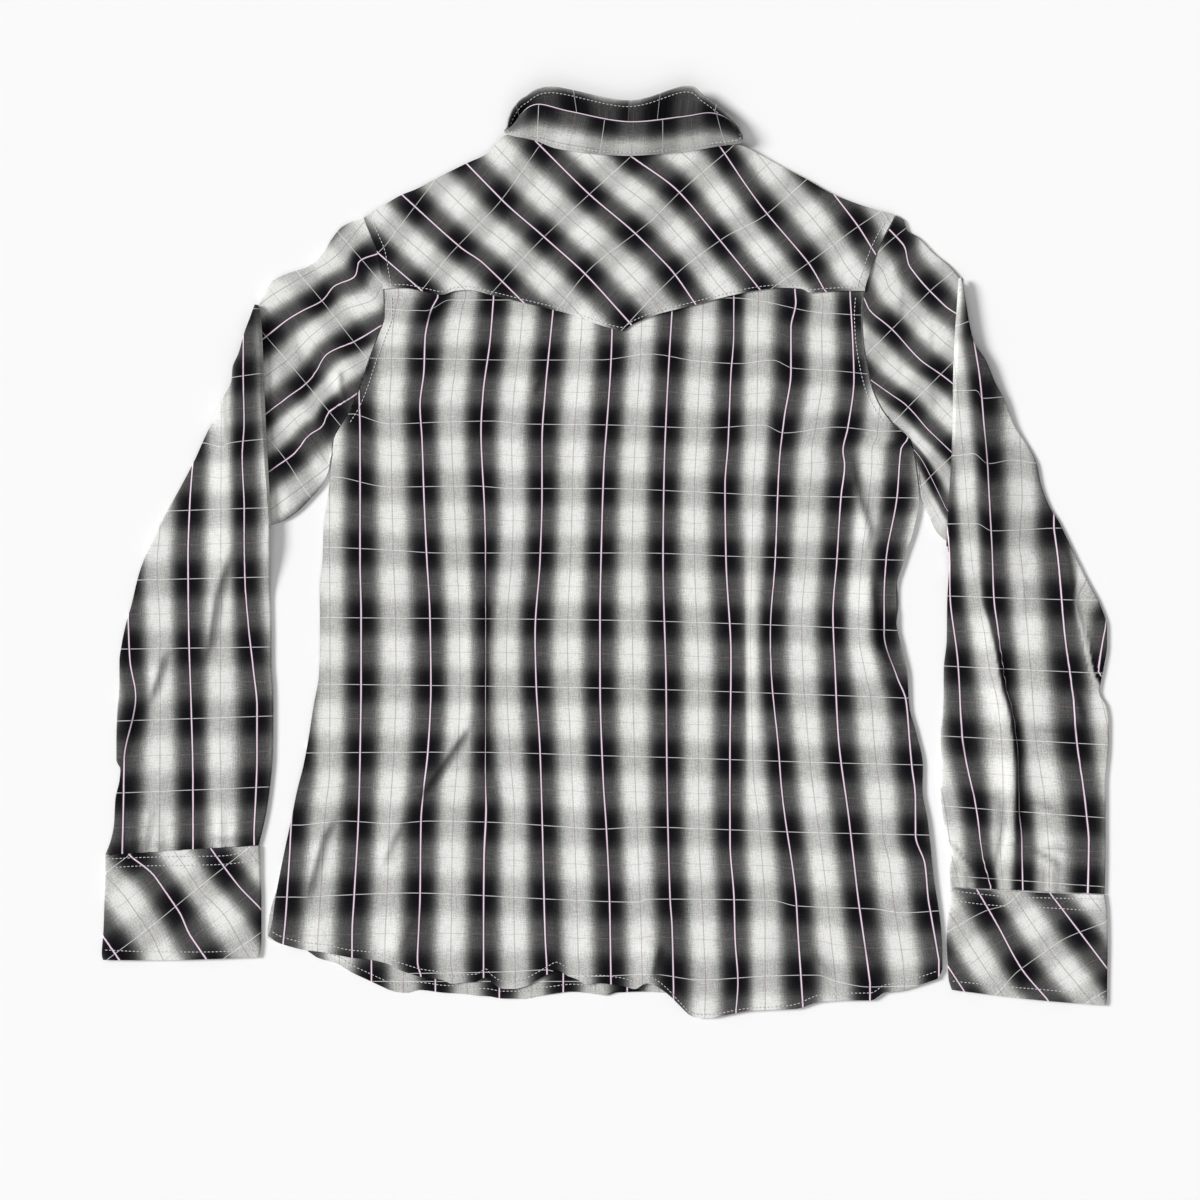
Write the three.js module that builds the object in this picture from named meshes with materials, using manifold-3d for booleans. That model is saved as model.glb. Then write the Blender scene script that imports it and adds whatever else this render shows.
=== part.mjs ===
// Western snap shirt, laid flat on its front and seen from the back.
// Millimetres, +Z up, X to the right and Y up the back. The table is z = 0.
// Left and right are as seen from above. Every piece is a closed wall of cloth.
import * as THREE from 'three'
import Module from 'manifold-3d'

// Cloth and layers
const WALL = 1.2
const GAP = 0.4
const LAYER = WALL + GAP
const TUBE_HALF = WALL + GAP / 2
const PLEAT_PITCH = 2 * TUBE_HALF + GAP

// Body
const CENTRE_FRONT = 12
const BAND_HALF = 16
const YOKE_OVERLAP = 6
const YOKE_RAMP = 26
const YOKE_LEVEL = 9
const FOLD_FADE = 20
const FRONT_INSET = 0.6
const SLEEVE_GAP = 1.1

// Neck: the yoke rises towards it, where the collar's stand lies beneath
const NECK = { x: 13, half: 84, y: 318, rise: 4, reach: 42 }

// Front bands: where the cloth over them rises, and where it comes level again
const BAND_SIDE = { level: 19, reach: 24 }
const BAND_TOP = { y: 246, reach: 30 }

// Places where a front shows past the back's side edge
const LEFT_PEEK = { y: -277, reach: 26, width: 3 }
const RIGHT_PEEK = { y: -38, reach: 26, width: 3 }

// Corner places of the panels, lower edge and upper edge, left to right
const BACK_CORNERS = { bottom: [-256.9, 252], top: [-169, 196.4] }
const YOKE_CORNERS = { bottom: [-169.5, 196.6], top: [-184, 219.6] }
const FRONT_HEM_ENDS = [-257.6, 251.4]
const FRONT_SHOULDER_ENDS = [-183.4, 219]

// Underlap band against the outer one: its sides, hem and neck edge
const UNDERLAP = { left: -3, right: -1, hem: 2, neck: -1 }

// Snaps
const SNAP_CAP = 5.5
const SNAP_HOLE = 5.8
const SNAP_POST = 3
const POST_HOLE = 3.3
const SNAP_SIDES = 12
const SNAP_EDGE = 0.4
const CUFF_POST_PROUD = 0.3
const FRONT_SNAPS = 7
const TOP_SNAP_Y = 222
const SNAP_PITCH = 79
const COLLAR_SNAP = { x: 14, y: 251 }

// Folded elbow: how far the lower sleeve takes to come down to the table
const ELBOW_SIDE_REACH = 42
const ELBOW_END_REACH = 50
const ELBOW_END_Y = 12

// Grids of each panel
const BACK_GRID = { columns: 27, rows: 26 }
const YOKE_GRID = { columns: 27, rows: 9 }
const FRONT_GRID = { outerColumns: 8, innerColumns: 7, rows: 17 }
const BAND_GRID = { columns: 4, rows: 17 }
const TUBE_TOP = 12
const TUBE_UNDER = 6
const TUBE_EDGE = 0.02
const EDGE_INSET = 1.5
const FACE_INSET = 2.4
const COLLAR_STEPS = 44
const STAND_COLUMNS = 19
const STAND_FRONT_COLUMNS = 15

// Side edges of the body from the hem to the shoulder tips
const sides = [
  { y: -330, left: -259, right: 250 },
  { y: -301, left: -257, right: 255.7 },
  { y: -283, left: -254.2, right: 254.6 },
  { y: -247, left: -248.5, right: 249.3 },
  { y: -203, left: -239.4, right: 244.7 },
  { y: -162, left: -230.3, right: 241.3 },
  { y: -117, left: -222.7, right: 231 },
  { y: -93, left: -218.5, right: 229.5 },
  { y: -71, left: -217.7, right: 225 },
  { y: -28, left: -218.1, right: 221.2 },
  { y: -5, left: -215.8, right: 227.2 },
  { y: 19, left: -215.1, right: 234.8 },
  { y: 40, left: -212, right: 238.6 },
  { y: 62, left: -209.8, right: 236.7 },
  { y: 86, left: -207.5, right: 231.8 },
  { y: 99, left: -200.6, right: 218.1 },
  { y: 110, left: -193.8, right: 209.8 },
  { y: 125, left: -187.3, right: 202.9 },
  { y: 145, left: -180.9, right: 198.4 },
  { y: 164, left: -174, right: 195.7 },
  { y: 181, left: -168.7, right: 194.9 },
  { y: 200, left: -169.3, right: 196.6 },
  { y: 223, left: -173, right: 203.7 },
  { y: 240, left: -178.4, right: 211.5 },
  { y: 255, left: -184, right: 219.4 },
  { y: 258, left: -185.2, right: 220.6 }
]

// Hem of the back
const backHem = [
  { x: -256.9, y: -291 },
  { x: -229, y: -301.7 },
  { x: -183, y: -308.6 },
  { x: -166, y: -312.4 },
  { x: -148, y: -320 },
  { x: -116, y: -327.6 },
  { x: -99, y: -326 },
  { x: -91, y: -322 },
  { x: -78, y: -331.4 },
  { x: -62, y: -329.5 },
  { x: -38, y: -317 },
  { x: -20, y: -324.5 },
  { x: 14, y: -329 },
  { x: 22, y: -331.4 },
  { x: 30, y: -326.8 },
  { x: 42, y: -331.4 },
  { x: 57, y: -345 },
  { x: 70, y: -353.4 },
  { x: 88, y: -352 },
  { x: 110, y: -348 },
  { x: 144, y: -346.6 },
  { x: 163, y: -341.2 },
  { x: 201, y: -340 },
  { x: 212, y: -334 },
  { x: 222, y: -333 },
  { x: 252, y: -323.8 }
]

// Hem of the fronts, which shows below the back between x = -230 and x = 45
const frontHem = [
  { x: -257.6, y: -294 },
  { x: -229, y: -301.7 },
  { x: -195, y: -318.4 },
  { x: -169, y: -330.6 },
  { x: -153, y: -334.4 },
  { x: -135, y: -332.9 },
  { x: -90, y: -337.1 },
  { x: -64, y: -339 },
  { x: -26, y: -333.6 },
  { x: 0, y: -336.7 },
  { x: 27, y: -333.6 },
  { x: 45, y: -334.4 },
  { x: 71, y: -348.8 },
  { x: 110, y: -344.3 },
  { x: 163, y: -338.2 },
  { x: 201, y: -336.7 },
  { x: 222, y: -329.8 },
  { x: 252, y: -321.5 }
]

// Pointed seam where the yoke lies over the back
const yokeSeam = [
  { x: -169.5, y: 200.6 },
  { x: -155, y: 201.4 },
  { x: -124.6, y: 196.1 },
  { x: -105.6, y: 199.9 },
  { x: -87.4, y: 196.1 },
  { x: -28.1, y: 181.6 },
  { x: 2, y: 171.2 },
  { x: 12.2, y: 168.7 },
  { x: 22, y: 173.2 },
  { x: 38, y: 180.9 },
  { x: 64.6, y: 187.7 },
  { x: 97.3, y: 196.1 },
  { x: 149, y: 200.6 },
  { x: 166.4, y: 198.4 },
  { x: 196.6, y: 199.2 }
]

// Shoulders, with the back neck between them
const shoulderAndNeck = [
  { x: -184, y: 254.6 },
  { x: -168.7, y: 264.5 },
  { x: -128.4, y: 285 },
  { x: -90.4, y: 303.2 },
  { x: -75.2, y: 317.2 },
  { x: -62, y: 317.4 },
  { x: -40, y: 318.2 },
  { x: 15, y: 318.8 },
  { x: 60, y: 317.8 },
  { x: 80, y: 314.5 },
  { x: 92, y: 310.5 },
  { x: 101.8, y: 309.3 },
  { x: 133, y: 294.1 },
  { x: 172.5, y: 272.8 },
  { x: 219.6, y: 256.4 }
]

// Neckline of the fronts, hidden between the yoke and the table
const frontNeck = [
  { x: -75.2, y: 316 },
  { x: -71, y: 294 },
  { x: -64, y: 271 },
  { x: -52, y: 255.5 },
  { x: -27, y: 241.5 },
  { x: 14, y: 236 },
  { x: 53, y: 242 },
  { x: 73.5, y: 251.5 },
  { x: 90, y: 267 },
  { x: 97, y: 295 },
  { x: 101.8, y: 308 }
]

// Largest folds of the back: a ridge from one end to the other, with its width and height
const backFolds = [
  { fromX: -97, fromY: -122, toX: -150, toY: -194, width: 15, height: 2.2 },
  { fromX: -203, fromY: -195, toX: -230, toY: -274, width: 16, height: 2 },
  { fromX: 186, fromY: 76, toX: 199, toY: -6, width: 15, height: 2 },
  { fromX: 205, fromY: -10, toX: 219, toY: -100, width: 14, height: 1.8 },
  { fromX: -116, fromY: 190, toX: -142, toY: 165, width: 16, height: 1.4 },
  { fromX: -60, fromY: 120, toX: -56, toY: -60, width: 34, height: 1.4 },
  { fromX: 60, fromY: 110, toX: 66, toY: -60, width: 34, height: 1.5 },
  { fromX: -130, fromY: 100, toX: -128, toY: -40, width: 30, height: 1.3 },
  { fromX: 145, fromY: 90, toX: 140, toY: -60, width: 28, height: 1.3 },
  { fromX: 32, fromY: -270, toX: 36, toY: -325, width: 16, height: 2.4 },
  { fromX: -38, fromY: -250, toX: -38, toY: -310, width: 18, height: 2 },
  { fromX: -140, fromY: -270, toX: -160, toY: -305, width: 16, height: 1.6 },
  { fromX: 110, fromY: -190, toX: 118, toY: -335, width: 26, height: 1.8 },
  { fromX: 206, fromY: -290, toX: 214, toY: -328, width: 15, height: 1.8 },
  { fromX: 160, fromY: -160, toX: 172, toY: -290, width: 24, height: 1.6 }
]

// Lines across each sleeve from its outer end to its underarm end.
// turn is the angle of the folded cloth in degrees, layer counts the folds of the elbow pleat,
// bow is how much of the armhole's curve the line keeps.
const leftSleeve = [
  { outX: -184, outY: 255, inX: -207.5, inY: 86, turn: 0, layer: 0, bow: 1 },
  { outX: -200.6, outY: 248.5, inX: -209.6, inY: 73, turn: 0, layer: 0, bow: 0.8 },
  { outX: -215.1, outY: 228.8, inX: -216, inY: 55.5, turn: 0, layer: 0, bow: 0.5 },
  { outX: -231, outY: 215.1, inX: -228, inY: 38, turn: 0, layer: 0, bow: 0.3 },
  { outX: -249.3, outY: 208.2, inX: -240.2, inY: 27.4, turn: 0, layer: 0, bow: 0.15 },
  { outX: -261, outY: 195, inX: -262, inY: 21.5, turn: 0, layer: 0, bow: 0 },
  { outX: -267, outY: 184, inX: -286, inY: 22, turn: 90, layer: 0.5, bow: 0 },
  { outX: -266, outY: 187, inX: -270, inY: 21.2, turn: 180, layer: 1, bow: 0 },
  { outX: -265, outY: 190, inX: -254.6, inY: 20.5, turn: 90, layer: 1.5, bow: 0 },
  { outX: -269.8, outY: 179.4, inX: -255.4, inY: 17.5, turn: 0, layer: 2, bow: 0 },
  { outX: -278.9, outY: 151.2, inX: -255.4, inY: 12.2, turn: 0, layer: 2, bow: 0 },
  { outX: -284.2, outY: 130.7, inX: -255.4, inY: 6.8, turn: 0, layer: 2, bow: 0 },
  { outX: -298.7, outY: 100.3, inX: -255.4, inY: 0.8, turn: 0, layer: 2, bow: 0 },
  { outX: -313.1, outY: 69.9, inX: -255.4, inY: -6.8, turn: 0, layer: 2, bow: 0 },
  { outX: -331.4, outY: 36.5, inX: -255.4, inY: -16.7, turn: 0, layer: 2, bow: 0 },
  { outX: -347.3, outY: 5.3, inX: -255.4, inY: -28.1, turn: 0, layer: 2, bow: 0 },
  { outX: -358.7, outY: -28.1, inX: -254.6, inY: -41.8, turn: 0, layer: 2, bow: 0 },
  { outX: -365.6, outY: -55.5, inX: -254.6, inY: -60, turn: 0, layer: 2, bow: 0 },
  { outX: -370.1, outY: -82.1, inX: -254.6, inY: -82.8, turn: 0, layer: 2, bow: 0 },
  { outX: -370.9, outY: -111.7, inX: -253.1, inY: -110.2, turn: 0, layer: 2, bow: 0 },
  { outX: -372.4, outY: -139.8, inX: -253.1, inY: -136.8, turn: 0, layer: 2, bow: 0 },
  { outX: -370.1, outY: -164.9, inX: -254.2, inY: -161.1, turn: 0, layer: 2, bow: 0 },
  { outX: -373.2, outY: -187, inX: -256.9, inY: -183.9, turn: 0, layer: 2, bow: 0 },
  { outX: -375.4, outY: -210.5, inX: -260.7, inY: -206, turn: 0, layer: 2, bow: 0 },
  { outX: -380.6, outY: -228.6, inX: -264.2, inY: -222, turn: 0, layer: 2, bow: 0 }
]

const rightSleeve = [
  { outX: 219.4, outY: 255, inX: 231.8, inY: 86, turn: 0, layer: 0, bow: 1 },
  { outX: 228.8, outY: 244.7, inX: 238.6, inY: 64, turn: 0, layer: 0, bow: 0.8 },
  { outX: 238.6, outY: 237.9, inX: 241.6, inY: 44, turn: 0, layer: 0, bow: 0.5 },
  { outX: 250.8, outY: 226.5, inX: 244.6, inY: 30, turn: 0, layer: 0, bow: 0.3 },
  { outX: 261.4, outY: 217.4, inX: 252, inY: 15.2, turn: 0, layer: 0, bow: 0.15 },
  { outX: 268.4, outY: 209, inX: 263, inY: 7, turn: 0, layer: 0, bow: 0 },
  { outX: 272, outY: 200, inX: 287, inY: 8, turn: 90, layer: 0.5, bow: 0 },
  { outX: 270.4, outY: 204, inX: 273, inY: 6.5, turn: 180, layer: 1, bow: 0 },
  { outX: 268.3, outY: 208.2, inX: 259.9, inY: 5, turn: 90, layer: 1.5, bow: 0 },
  { outX: 272.9, outY: 196.1, inX: 259.9, inY: 1.5, turn: 0, layer: 2, bow: 0 },
  { outX: 277.9, outY: 165.7, inX: 260.3, inY: -2.3, turn: 0, layer: 2, bow: 0 },
  { outX: 291.8, outY: 137.6, inX: 260.7, inY: -6.8, turn: 0, layer: 2, bow: 0 },
  { outX: 310.1, outY: 98, inX: 260.7, inY: -11.4, turn: 0, layer: 2, bow: 0 },
  { outX: 327.6, outY: 68.4, inX: 260.3, inY: -17.5, turn: 0, layer: 2, bow: 0 },
  { outX: 339.7, outY: 31.9, inX: 259.9, inY: -26.6, turn: 0, layer: 2, bow: 0 },
  { outX: 357.2, outY: -2.3, inX: 259.5, inY: -38, turn: 0, layer: 2, bow: 0 },
  { outX: 373.2, outY: -34.2, inX: 259.2, inY: -52.4, turn: 0, layer: 2, bow: 0 },
  { outX: 381.5, outY: -63.1, inX: 259.2, inY: -69, turn: 0, layer: 2, bow: 0 },
  { outX: 377.7, outY: -90.4, inX: 256.9, inY: -89.7, turn: 0, layer: 2, bow: 0 },
  { outX: 377, outY: -108.7, inX: 256.9, inY: -107.2, turn: 0, layer: 2, bow: 0 },
  { outX: 382.7, outY: -133, inX: 255.4, inY: -128.4, turn: 0, layer: 2, bow: 0 },
  { outX: 381.5, outY: -161.1, inX: 254.6, inY: -155, turn: 0, layer: 2, bow: 0 },
  { outX: 380, outY: -190, inX: 255, inY: -182.4, turn: 0, layer: 2, bow: 0 },
  { outX: 380, outY: -226, inX: 259.2, inY: -216.6, turn: 0, layer: 2, bow: 0 },
  { outX: 379.6, outY: -258.3, inX: 262.2, inY: -252.2, turn: 0, layer: 2, bow: 0 }
]

// Largest folds on top of each sleeve
const leftSleeveFolds = [
  { fromX: -282, fromY: 10, toX: -310, toY: -92, width: 15, height: 2 },
  { fromX: -334, fromY: -70, toX: -349, toY: -118, width: 13, height: 1.6 },
  { fromX: -200, fromY: 140, toX: -196, toY: 112, width: 16, height: 1.6 },
  { fromX: -290, fromY: -120, toX: -292, toY: -200, width: 22, height: 1.2 }
]
const rightSleeveFolds = [
  { fromX: 289, fromY: -39, toX: 310, toY: -125, width: 16, height: 2.8 },
  { fromX: 310, fromY: -125, toX: 310, toY: -222, width: 16, height: 3 },
  { fromX: 283, fromY: 98, toX: 287, toY: 40, width: 14, height: 1.8 },
  { fromX: 352, fromY: -110, toX: 358, toY: -200, width: 24, height: 1.2 }
]

// Hidden pleat at each elbow: its inner edge, and the side on which the lower sleeve lies
const leftElbow = { topX: -267, topY: 184, endX: -286, endY: 22, side: -1 }
const rightElbow = { topX: 272, topY: 200, endX: 287, endY: 8, side: 1 }

// Lines across each cuff, top to bottom
const leftCuff = [
  { outX: -380.8, outY: -229.5, inX: -263.7, inY: -222.9 },
  { outX: -381.6, outY: -262, inX: -262.2, inY: -258 },
  { outX: -383.2, outY: -305, inX: -262.8, inY: -301 },
  { outX: -382.2, outY: -308.6, inX: -264, inY: -305.5 }
]
const rightCuff = [
  { outX: 379.6, outY: -259.2, inX: 262.2, inY: -253.1 },
  { outX: 381.4, outY: -297, inX: 259.9, inY: -292 },
  { outX: 381.3, outY: -341, inX: 260.4, inY: -326 },
  { outX: 380.6, outY: -344.3, inX: 262, inY: -332 }
]
const leftCuffSnaps = [
  { x: -276, y: -246 },
  { x: -276, y: -284 }
]
const rightCuffSnaps = [
  { x: 276, y: -276 },
  { x: 276, y: -314 }
]

// Sections of the collar, once round from the middle of the back to the right.
// The stand runs from the neck seam to the roll, the leaf from the roll to its edge.
// open is 0 where the leaf falls over the yoke and 1 where it stands up beyond the neck.
const collarSections = [
  { seam: [15, 321.2, 5], roll: [16, 324.1, 27], edge: [13.7, 301.7, 6.9], open: 0 },
  { seam: [50, 320.6, 5], roll: [57, 328, 26], edge: [59.3, 304.8, 6.9], open: 0 },
  { seam: [77, 318.4, 5], roll: [79, 331.5, 22], edge: [86, 309, 7.2], open: 0 },
  { seam: [90, 316.5, 4.6], roll: [93.5, 326, 15], edge: [102.6, 311.8, 7.4], open: 0.2 },
  { seam: [96.5, 309.5, 2.4], roll: [97.2, 314.5, 4.6], edge: [101.5, 320.5, 9], open: 0.7 },
  { seam: [94.5, 293, 0.6], roll: [91.3, 298, 0.6], edge: [98.2, 326.5, 10], open: 1 },
  { seam: [87.4, 269, 0.6], roll: [79, 288, 0.6], edge: [90.4, 334, 12], open: 1 },
  { seam: [71.6, 254, 0.6], roll: [66, 279, 0.6], edge: [74, 346, 13], open: 1 },
  { seam: [52, 244, 0.6], roll: [49, 270, 0.6], edge: [59.7, 353.2, 13], open: 1 },
  { seam: [14, 238, 0.6], roll: [14, 265, 0.6], edge: [17, 342.4, 12], open: 1 },
  { seam: [-26, 243.4, 0.6], roll: [-23, 270, 0.6], edge: [-41, 352.6, 13], open: 1 },
  { seam: [-50, 257.4, 0.6], roll: [-44, 280, 0.6], edge: [-61.6, 345, 12], open: 1 },
  { seam: [-62, 272.4, 0.6], roll: [-55, 290, 0.6], edge: [-70, 337, 11], open: 1 },
  { seam: [-69, 296, 0.6], roll: [-65.8, 301, 0.6], edge: [-73.8, 329, 10], open: 1 },
  { seam: [-69.8, 313, 2.4], roll: [-70.4, 318.4, 4.6], edge: [-75.2, 323, 9], open: 0.7 },
  { seam: [-62.6, 321, 4.6], roll: [-65, 330, 15], edge: [-75.4, 318, 7.4], open: 0.2 },
  { seam: [-47, 321.4, 5], roll: [-52, 338, 22], edge: [-53.6, 313.1, 7.2], open: 0 },
  { seam: [-22, 321.6, 5], roll: [-27, 332, 26], edge: [-33.4, 306.3, 6.9], open: 0 }
]
const LEAF_STEPS = 5
const STAND_STEPS = 2
const LEAF_BULGE = 4
const LEAF_LIFT = 5
const BULGE_OUT = 0.6
const BULGE_UP = 0.8
const ROLL_CLEARANCE = 2.6

// Cloth and metal of the finished shirt
const plaidCloth = { color: 0x8a8c8b, roughness: 0.9, metalness: 0 }
const snapMetal = { color: 0xe6e2da, roughness: 0.25, metalness: 0.4 }

const wasm = await Module()
wasm.setup()
const shirt = new THREE.Group()

function ease(t) {
  const c = Math.min(1, Math.max(0, t))
  return c * c * (3 - 2 * c)
}

function mix(a, b, t) {
  return a + (b - a) * t
}

// Smooth curve through a table that never overshoots its rows
function curve(rows, from, to) {
  const last = rows.length - 1
  const slope = i => (rows[i + 1][to] - rows[i][to]) / (rows[i + 1][from] - rows[i][from])
  const tangent = i => {
    if (i === 0) return slope(0)
    if (i === last) return slope(last - 1)
    const before = slope(i - 1)
    const after = slope(i)
    return before * after <= 0 ? 0 : 2 * before * after / (before + after)
  }
  return at => {
    let i = 0
    while (i < last - 1 && rows[i + 1][from] < at) i++
    const span = rows[i + 1][from] - rows[i][from]
    const t = Math.min(1, Math.max(0, (at - rows[i][from]) / span))
    const t2 = t * t
    const t3 = t2 * t
    return (2 * t3 - 3 * t2 + 1) * rows[i][to] + (t3 - 2 * t2 + t) * span * tangent(i)
      + (3 * t2 - 2 * t3) * rows[i + 1][to] + (t3 - t2) * span * tangent(i + 1)
  }
}

const leftSide = curve(sides, 'y', 'left')
const rightSide = curve(sides, 'y', 'right')
const backHemY = curve(backHem, 'x', 'y')
const frontHemY = curve(frontHem, 'x', 'y')
const yokeSeamY = curve(yokeSeam, 'x', 'y')
const topY = curve(shoulderAndNeck, 'x', 'y')
const frontNeckY = curve(frontNeck, 'x', 'y')

// Height that a list of ridges adds at a place
function foldHeight(folds, x, y) {
  let height = 0
  for (const f of folds) {
    const dx = f.toX - f.fromX
    const dy = f.toY - f.fromY
    const long = dx * dx + dy * dy
    const along = ((x - f.fromX) * dx + (y - f.fromY) * dy) / long
    const away = Math.abs((x - f.fromX) * dy - (y - f.fromY) * dx) / Math.sqrt(long)
    const taper = 1 - ease((Math.abs(along - 0.5) - 0.3) / 0.35)
    height += f.height * taper * (1 - ease(away / f.width))
  }
  return height
}

// A closed solid from shared points and faces, turned so that the faces point out
function solid(points, faces) {
  let volume = 0
  for (const [a, b, c] of faces) {
    volume += points[a].dot(points[b].clone().cross(points[c]))
  }
  const index = volume > 0 ? faces.flat() : faces.map(([a, b, c]) => [a, c, b]).flat()
  const geometry = new THREE.BufferGeometry()
  geometry.setAttribute('position', new THREE.Float32BufferAttribute(points.flatMap(p => p.toArray()), 3))
  geometry.setIndex(index)
  geometry.computeVertexNormals()
  return geometry
}

function quad(faces, a, b, c, d) {
  faces.push([a, b, c], [a, c, d])
}

// A wall between two surfaces on the same grid, closed round its rim.
// With around set the grid's columns join up in a ring.
function wall(low, high, around = false) {
  const rows = low.length
  const columns = low[0].length
  const points = [...low.flat(), ...high.flat()]
  const half = rows * columns
  const at = (r, c) => r * columns + (c % columns)
  const faces = []
  const lastColumn = around ? columns : columns - 1
  for (let r = 0; r < rows - 1; r++) {
    for (let c = 0; c < lastColumn; c++) {
      quad(faces, half + at(r, c), half + at(r, c + 1), half + at(r + 1, c + 1), half + at(r + 1, c))
      quad(faces, at(r, c), at(r + 1, c), at(r + 1, c + 1), at(r, c + 1))
    }
  }
  for (let c = 0; c < lastColumn; c++) {
    quad(faces, at(0, c), at(0, c + 1), half + at(0, c + 1), half + at(0, c))
    quad(faces, at(rows - 1, c + 1), at(rows - 1, c), half + at(rows - 1, c), half + at(rows - 1, c + 1))
  }
  if (!around) {
    for (let r = 0; r < rows - 1; r++) {
      quad(faces, at(r + 1, 0), at(r, 0), half + at(r, 0), half + at(r + 1, 0))
      const c = columns - 1
      quad(faces, at(r, c), at(r + 1, c), half + at(r + 1, c), half + at(r, c))
    }
  }
  return solid(points, faces)
}

// A panel between four edge curves, with its underside at low(x, y)
function panel(edges, stops, rows, low) {
  const corner = {
    a: edges.bottom(0),
    b: edges.bottom(1),
    c: edges.top(0),
    d: edges.top(1)
  }
  const lowGrid = []
  const highGrid = []
  for (let r = 0; r < rows; r++) {
    const v = r / (rows - 1)
    const lowRow = []
    const highRow = []
    for (const u of stops) {
      const place = [0, 1].map(k => (1 - v) * edges.bottom(u)[k] + v * edges.top(u)[k]
        + (1 - u) * edges.left(v)[k] + u * edges.right(v)[k]
        - (1 - u) * (1 - v) * corner.a[k] - u * (1 - v) * corner.b[k]
        - (1 - u) * v * corner.c[k] - u * v * corner.d[k])
      const z = low(place[0], place[1])
      lowRow.push(new THREE.Vector3(place[0], place[1], z))
      highRow.push(new THREE.Vector3(place[0], place[1], z + WALL))
    }
    lowGrid.push(lowRow)
    highGrid.push(highRow)
  }
  return wall(lowGrid, highGrid)
}

function evenStops(count, from = 0, to = 1) {
  return Array.from({ length: count }, (_, i) => mix(from, to, i / (count - 1)))
}

// A side edge that meets both of its corners exactly
function sideFrom(edgeX, bottom, top, v) {
  const y = mix(bottom[1], top[1], v)
  const slip = mix(bottom[0] - edgeX(bottom[1]), top[0] - edgeX(top[1]), v)
  return [edgeX(y) + slip, y]
}

// Edges of a panel from the x of its corners, its lower and upper curves and its two sides
function edgesOf(bottomX, topX, lowerY, upperY, leftX, rightX) {
  const bottom = u => {
    const x = mix(bottomX[0], bottomX[1], u)
    return [x, lowerY(x)]
  }
  const top = u => {
    const x = mix(topX[0], topX[1], u)
    return [x, upperY(x)]
  }
  const left = v => sideFrom(leftX, bottom(0), top(0), v)
  const right = v => sideFrom(rightX, bottom(1), top(1), v)
  return { bottom, top, left, right }
}

function toManifold(geometry) {
  const mesh = new wasm.Mesh({
    numProp: 3,
    vertProperties: new Float32Array(geometry.attributes.position.array),
    triVerts: new Uint32Array(geometry.index.array)
  })
  return new wasm.Manifold(mesh)
}

function fromManifold(body) {
  const mesh = body.getMesh()
  const geometry = new THREE.BufferGeometry()
  geometry.setAttribute('position', new THREE.Float32BufferAttribute(mesh.vertProperties, 3))
  geometry.setIndex(new THREE.Uint32BufferAttribute(mesh.triVerts, 1))
  geometry.computeVertexNormals()
  return geometry
}

// Round holes for snaps, cut up through the cloth from below the table to a height
function withHoles(geometry, places, radius, from, to) {
  let body = toManifold(geometry)
  for (const place of places) {
    const drill = new THREE.CylinderGeometry(radius, radius, to - from, SNAP_SIDES)
    drill.rotateX(Math.PI / 2)
    drill.translate(place.x, place.y, (from + to) / 2)
    body = body.subtract(toManifold(welded(drill)))
  }
  return fromManifold(body)
}

// The same shape with one point where several share a place
function welded(geometry) {
  const position = geometry.attributes.position
  const points = []
  const seen = new Map()
  const index = []
  for (let i = 0; i < position.count; i++) {
    const point = new THREE.Vector3().fromBufferAttribute(position, i)
    const key = point.toArray().map(n => Math.round(n * 1e4)).join(' ')
    if (!seen.has(key)) {
      seen.set(key, points.length)
      points.push(point)
    }
    index.push(seen.get(key))
  }
  const faces = []
  const source = geometry.index.array
  for (let i = 0; i < source.length; i += 3) {
    const [a, b, c] = [index[source[i]], index[source[i + 1]], index[source[i + 2]]]
    if (a !== b && b !== c && c !== a) faces.push([a, b, c])
  }
  return solid(points, faces)
}

function add(name, geometry, finish) {
  const mesh = new THREE.Mesh(geometry, new THREE.MeshStandardMaterial(finish))
  mesh.name = name
  shirt.add(mesh)
}

// How far the two front bands lift what lies over them
function bandRise(x, y) {
  const across = 1 - ease((Math.abs(x - CENTRE_FRONT) - BAND_SIDE.level) / BAND_SIDE.reach)
  const up = 1 - ease((y - BAND_TOP.y) / BAND_TOP.reach)
  return LAYER * across * up
}

function backLow(x, y) {
  const fromSeam = yokeSeamY(x) - y
  const relief = foldHeight(backFolds, x, y) * ease((fromSeam - YOKE_OVERLAP) / FOLD_FADE)
  return LAYER + bandRise(x, y) + relief
}

function yokeLow(x, y) {
  const fromSeam = y - yokeSeamY(x)
  const overBack = LAYER * (1 - ease((fromSeam - YOKE_LEVEL) / YOKE_RAMP))
  const aside = Math.max(0, Math.abs(x - NECK.x) - NECK.half)
  const neckAway = Math.hypot(aside, Math.max(0, NECK.y - y))
  return LAYER + bandRise(x, y) + overBack + NECK.rise * (1 - ease(neckAway / NECK.reach))
}

function back() {
  const upperY = x => yokeSeamY(x) + YOKE_OVERLAP
  const { bottom, top } = BACK_CORNERS
  const edges = edgesOf(bottom, top, backHemY, upperY, leftSide, rightSide)
  return panel(edges, evenStops(BACK_GRID.columns), BACK_GRID.rows, backLow)
}

function yoke() {
  const { bottom, top } = YOKE_CORNERS
  const edges = edgesOf(bottom, top, yokeSeamY, topY, leftSide, rightSide)
  return panel(edges, evenStops(YOKE_GRID.columns), YOKE_GRID.rows, yokeLow)
}

// How far a front shows past the back at a height
function peekWidth(peek, y) {
  return peek.width * (1 - ease(Math.abs(y - peek.y) / peek.reach))
}

function frontLeftX(y) {
  return leftSide(y) + FRONT_INSET - peekWidth(LEFT_PEEK, y)
}

function frontRightX(y) {
  return rightSide(y) - FRONT_INSET + peekWidth(RIGHT_PEEK, y)
}

function flat() {
  return 0
}

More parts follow.
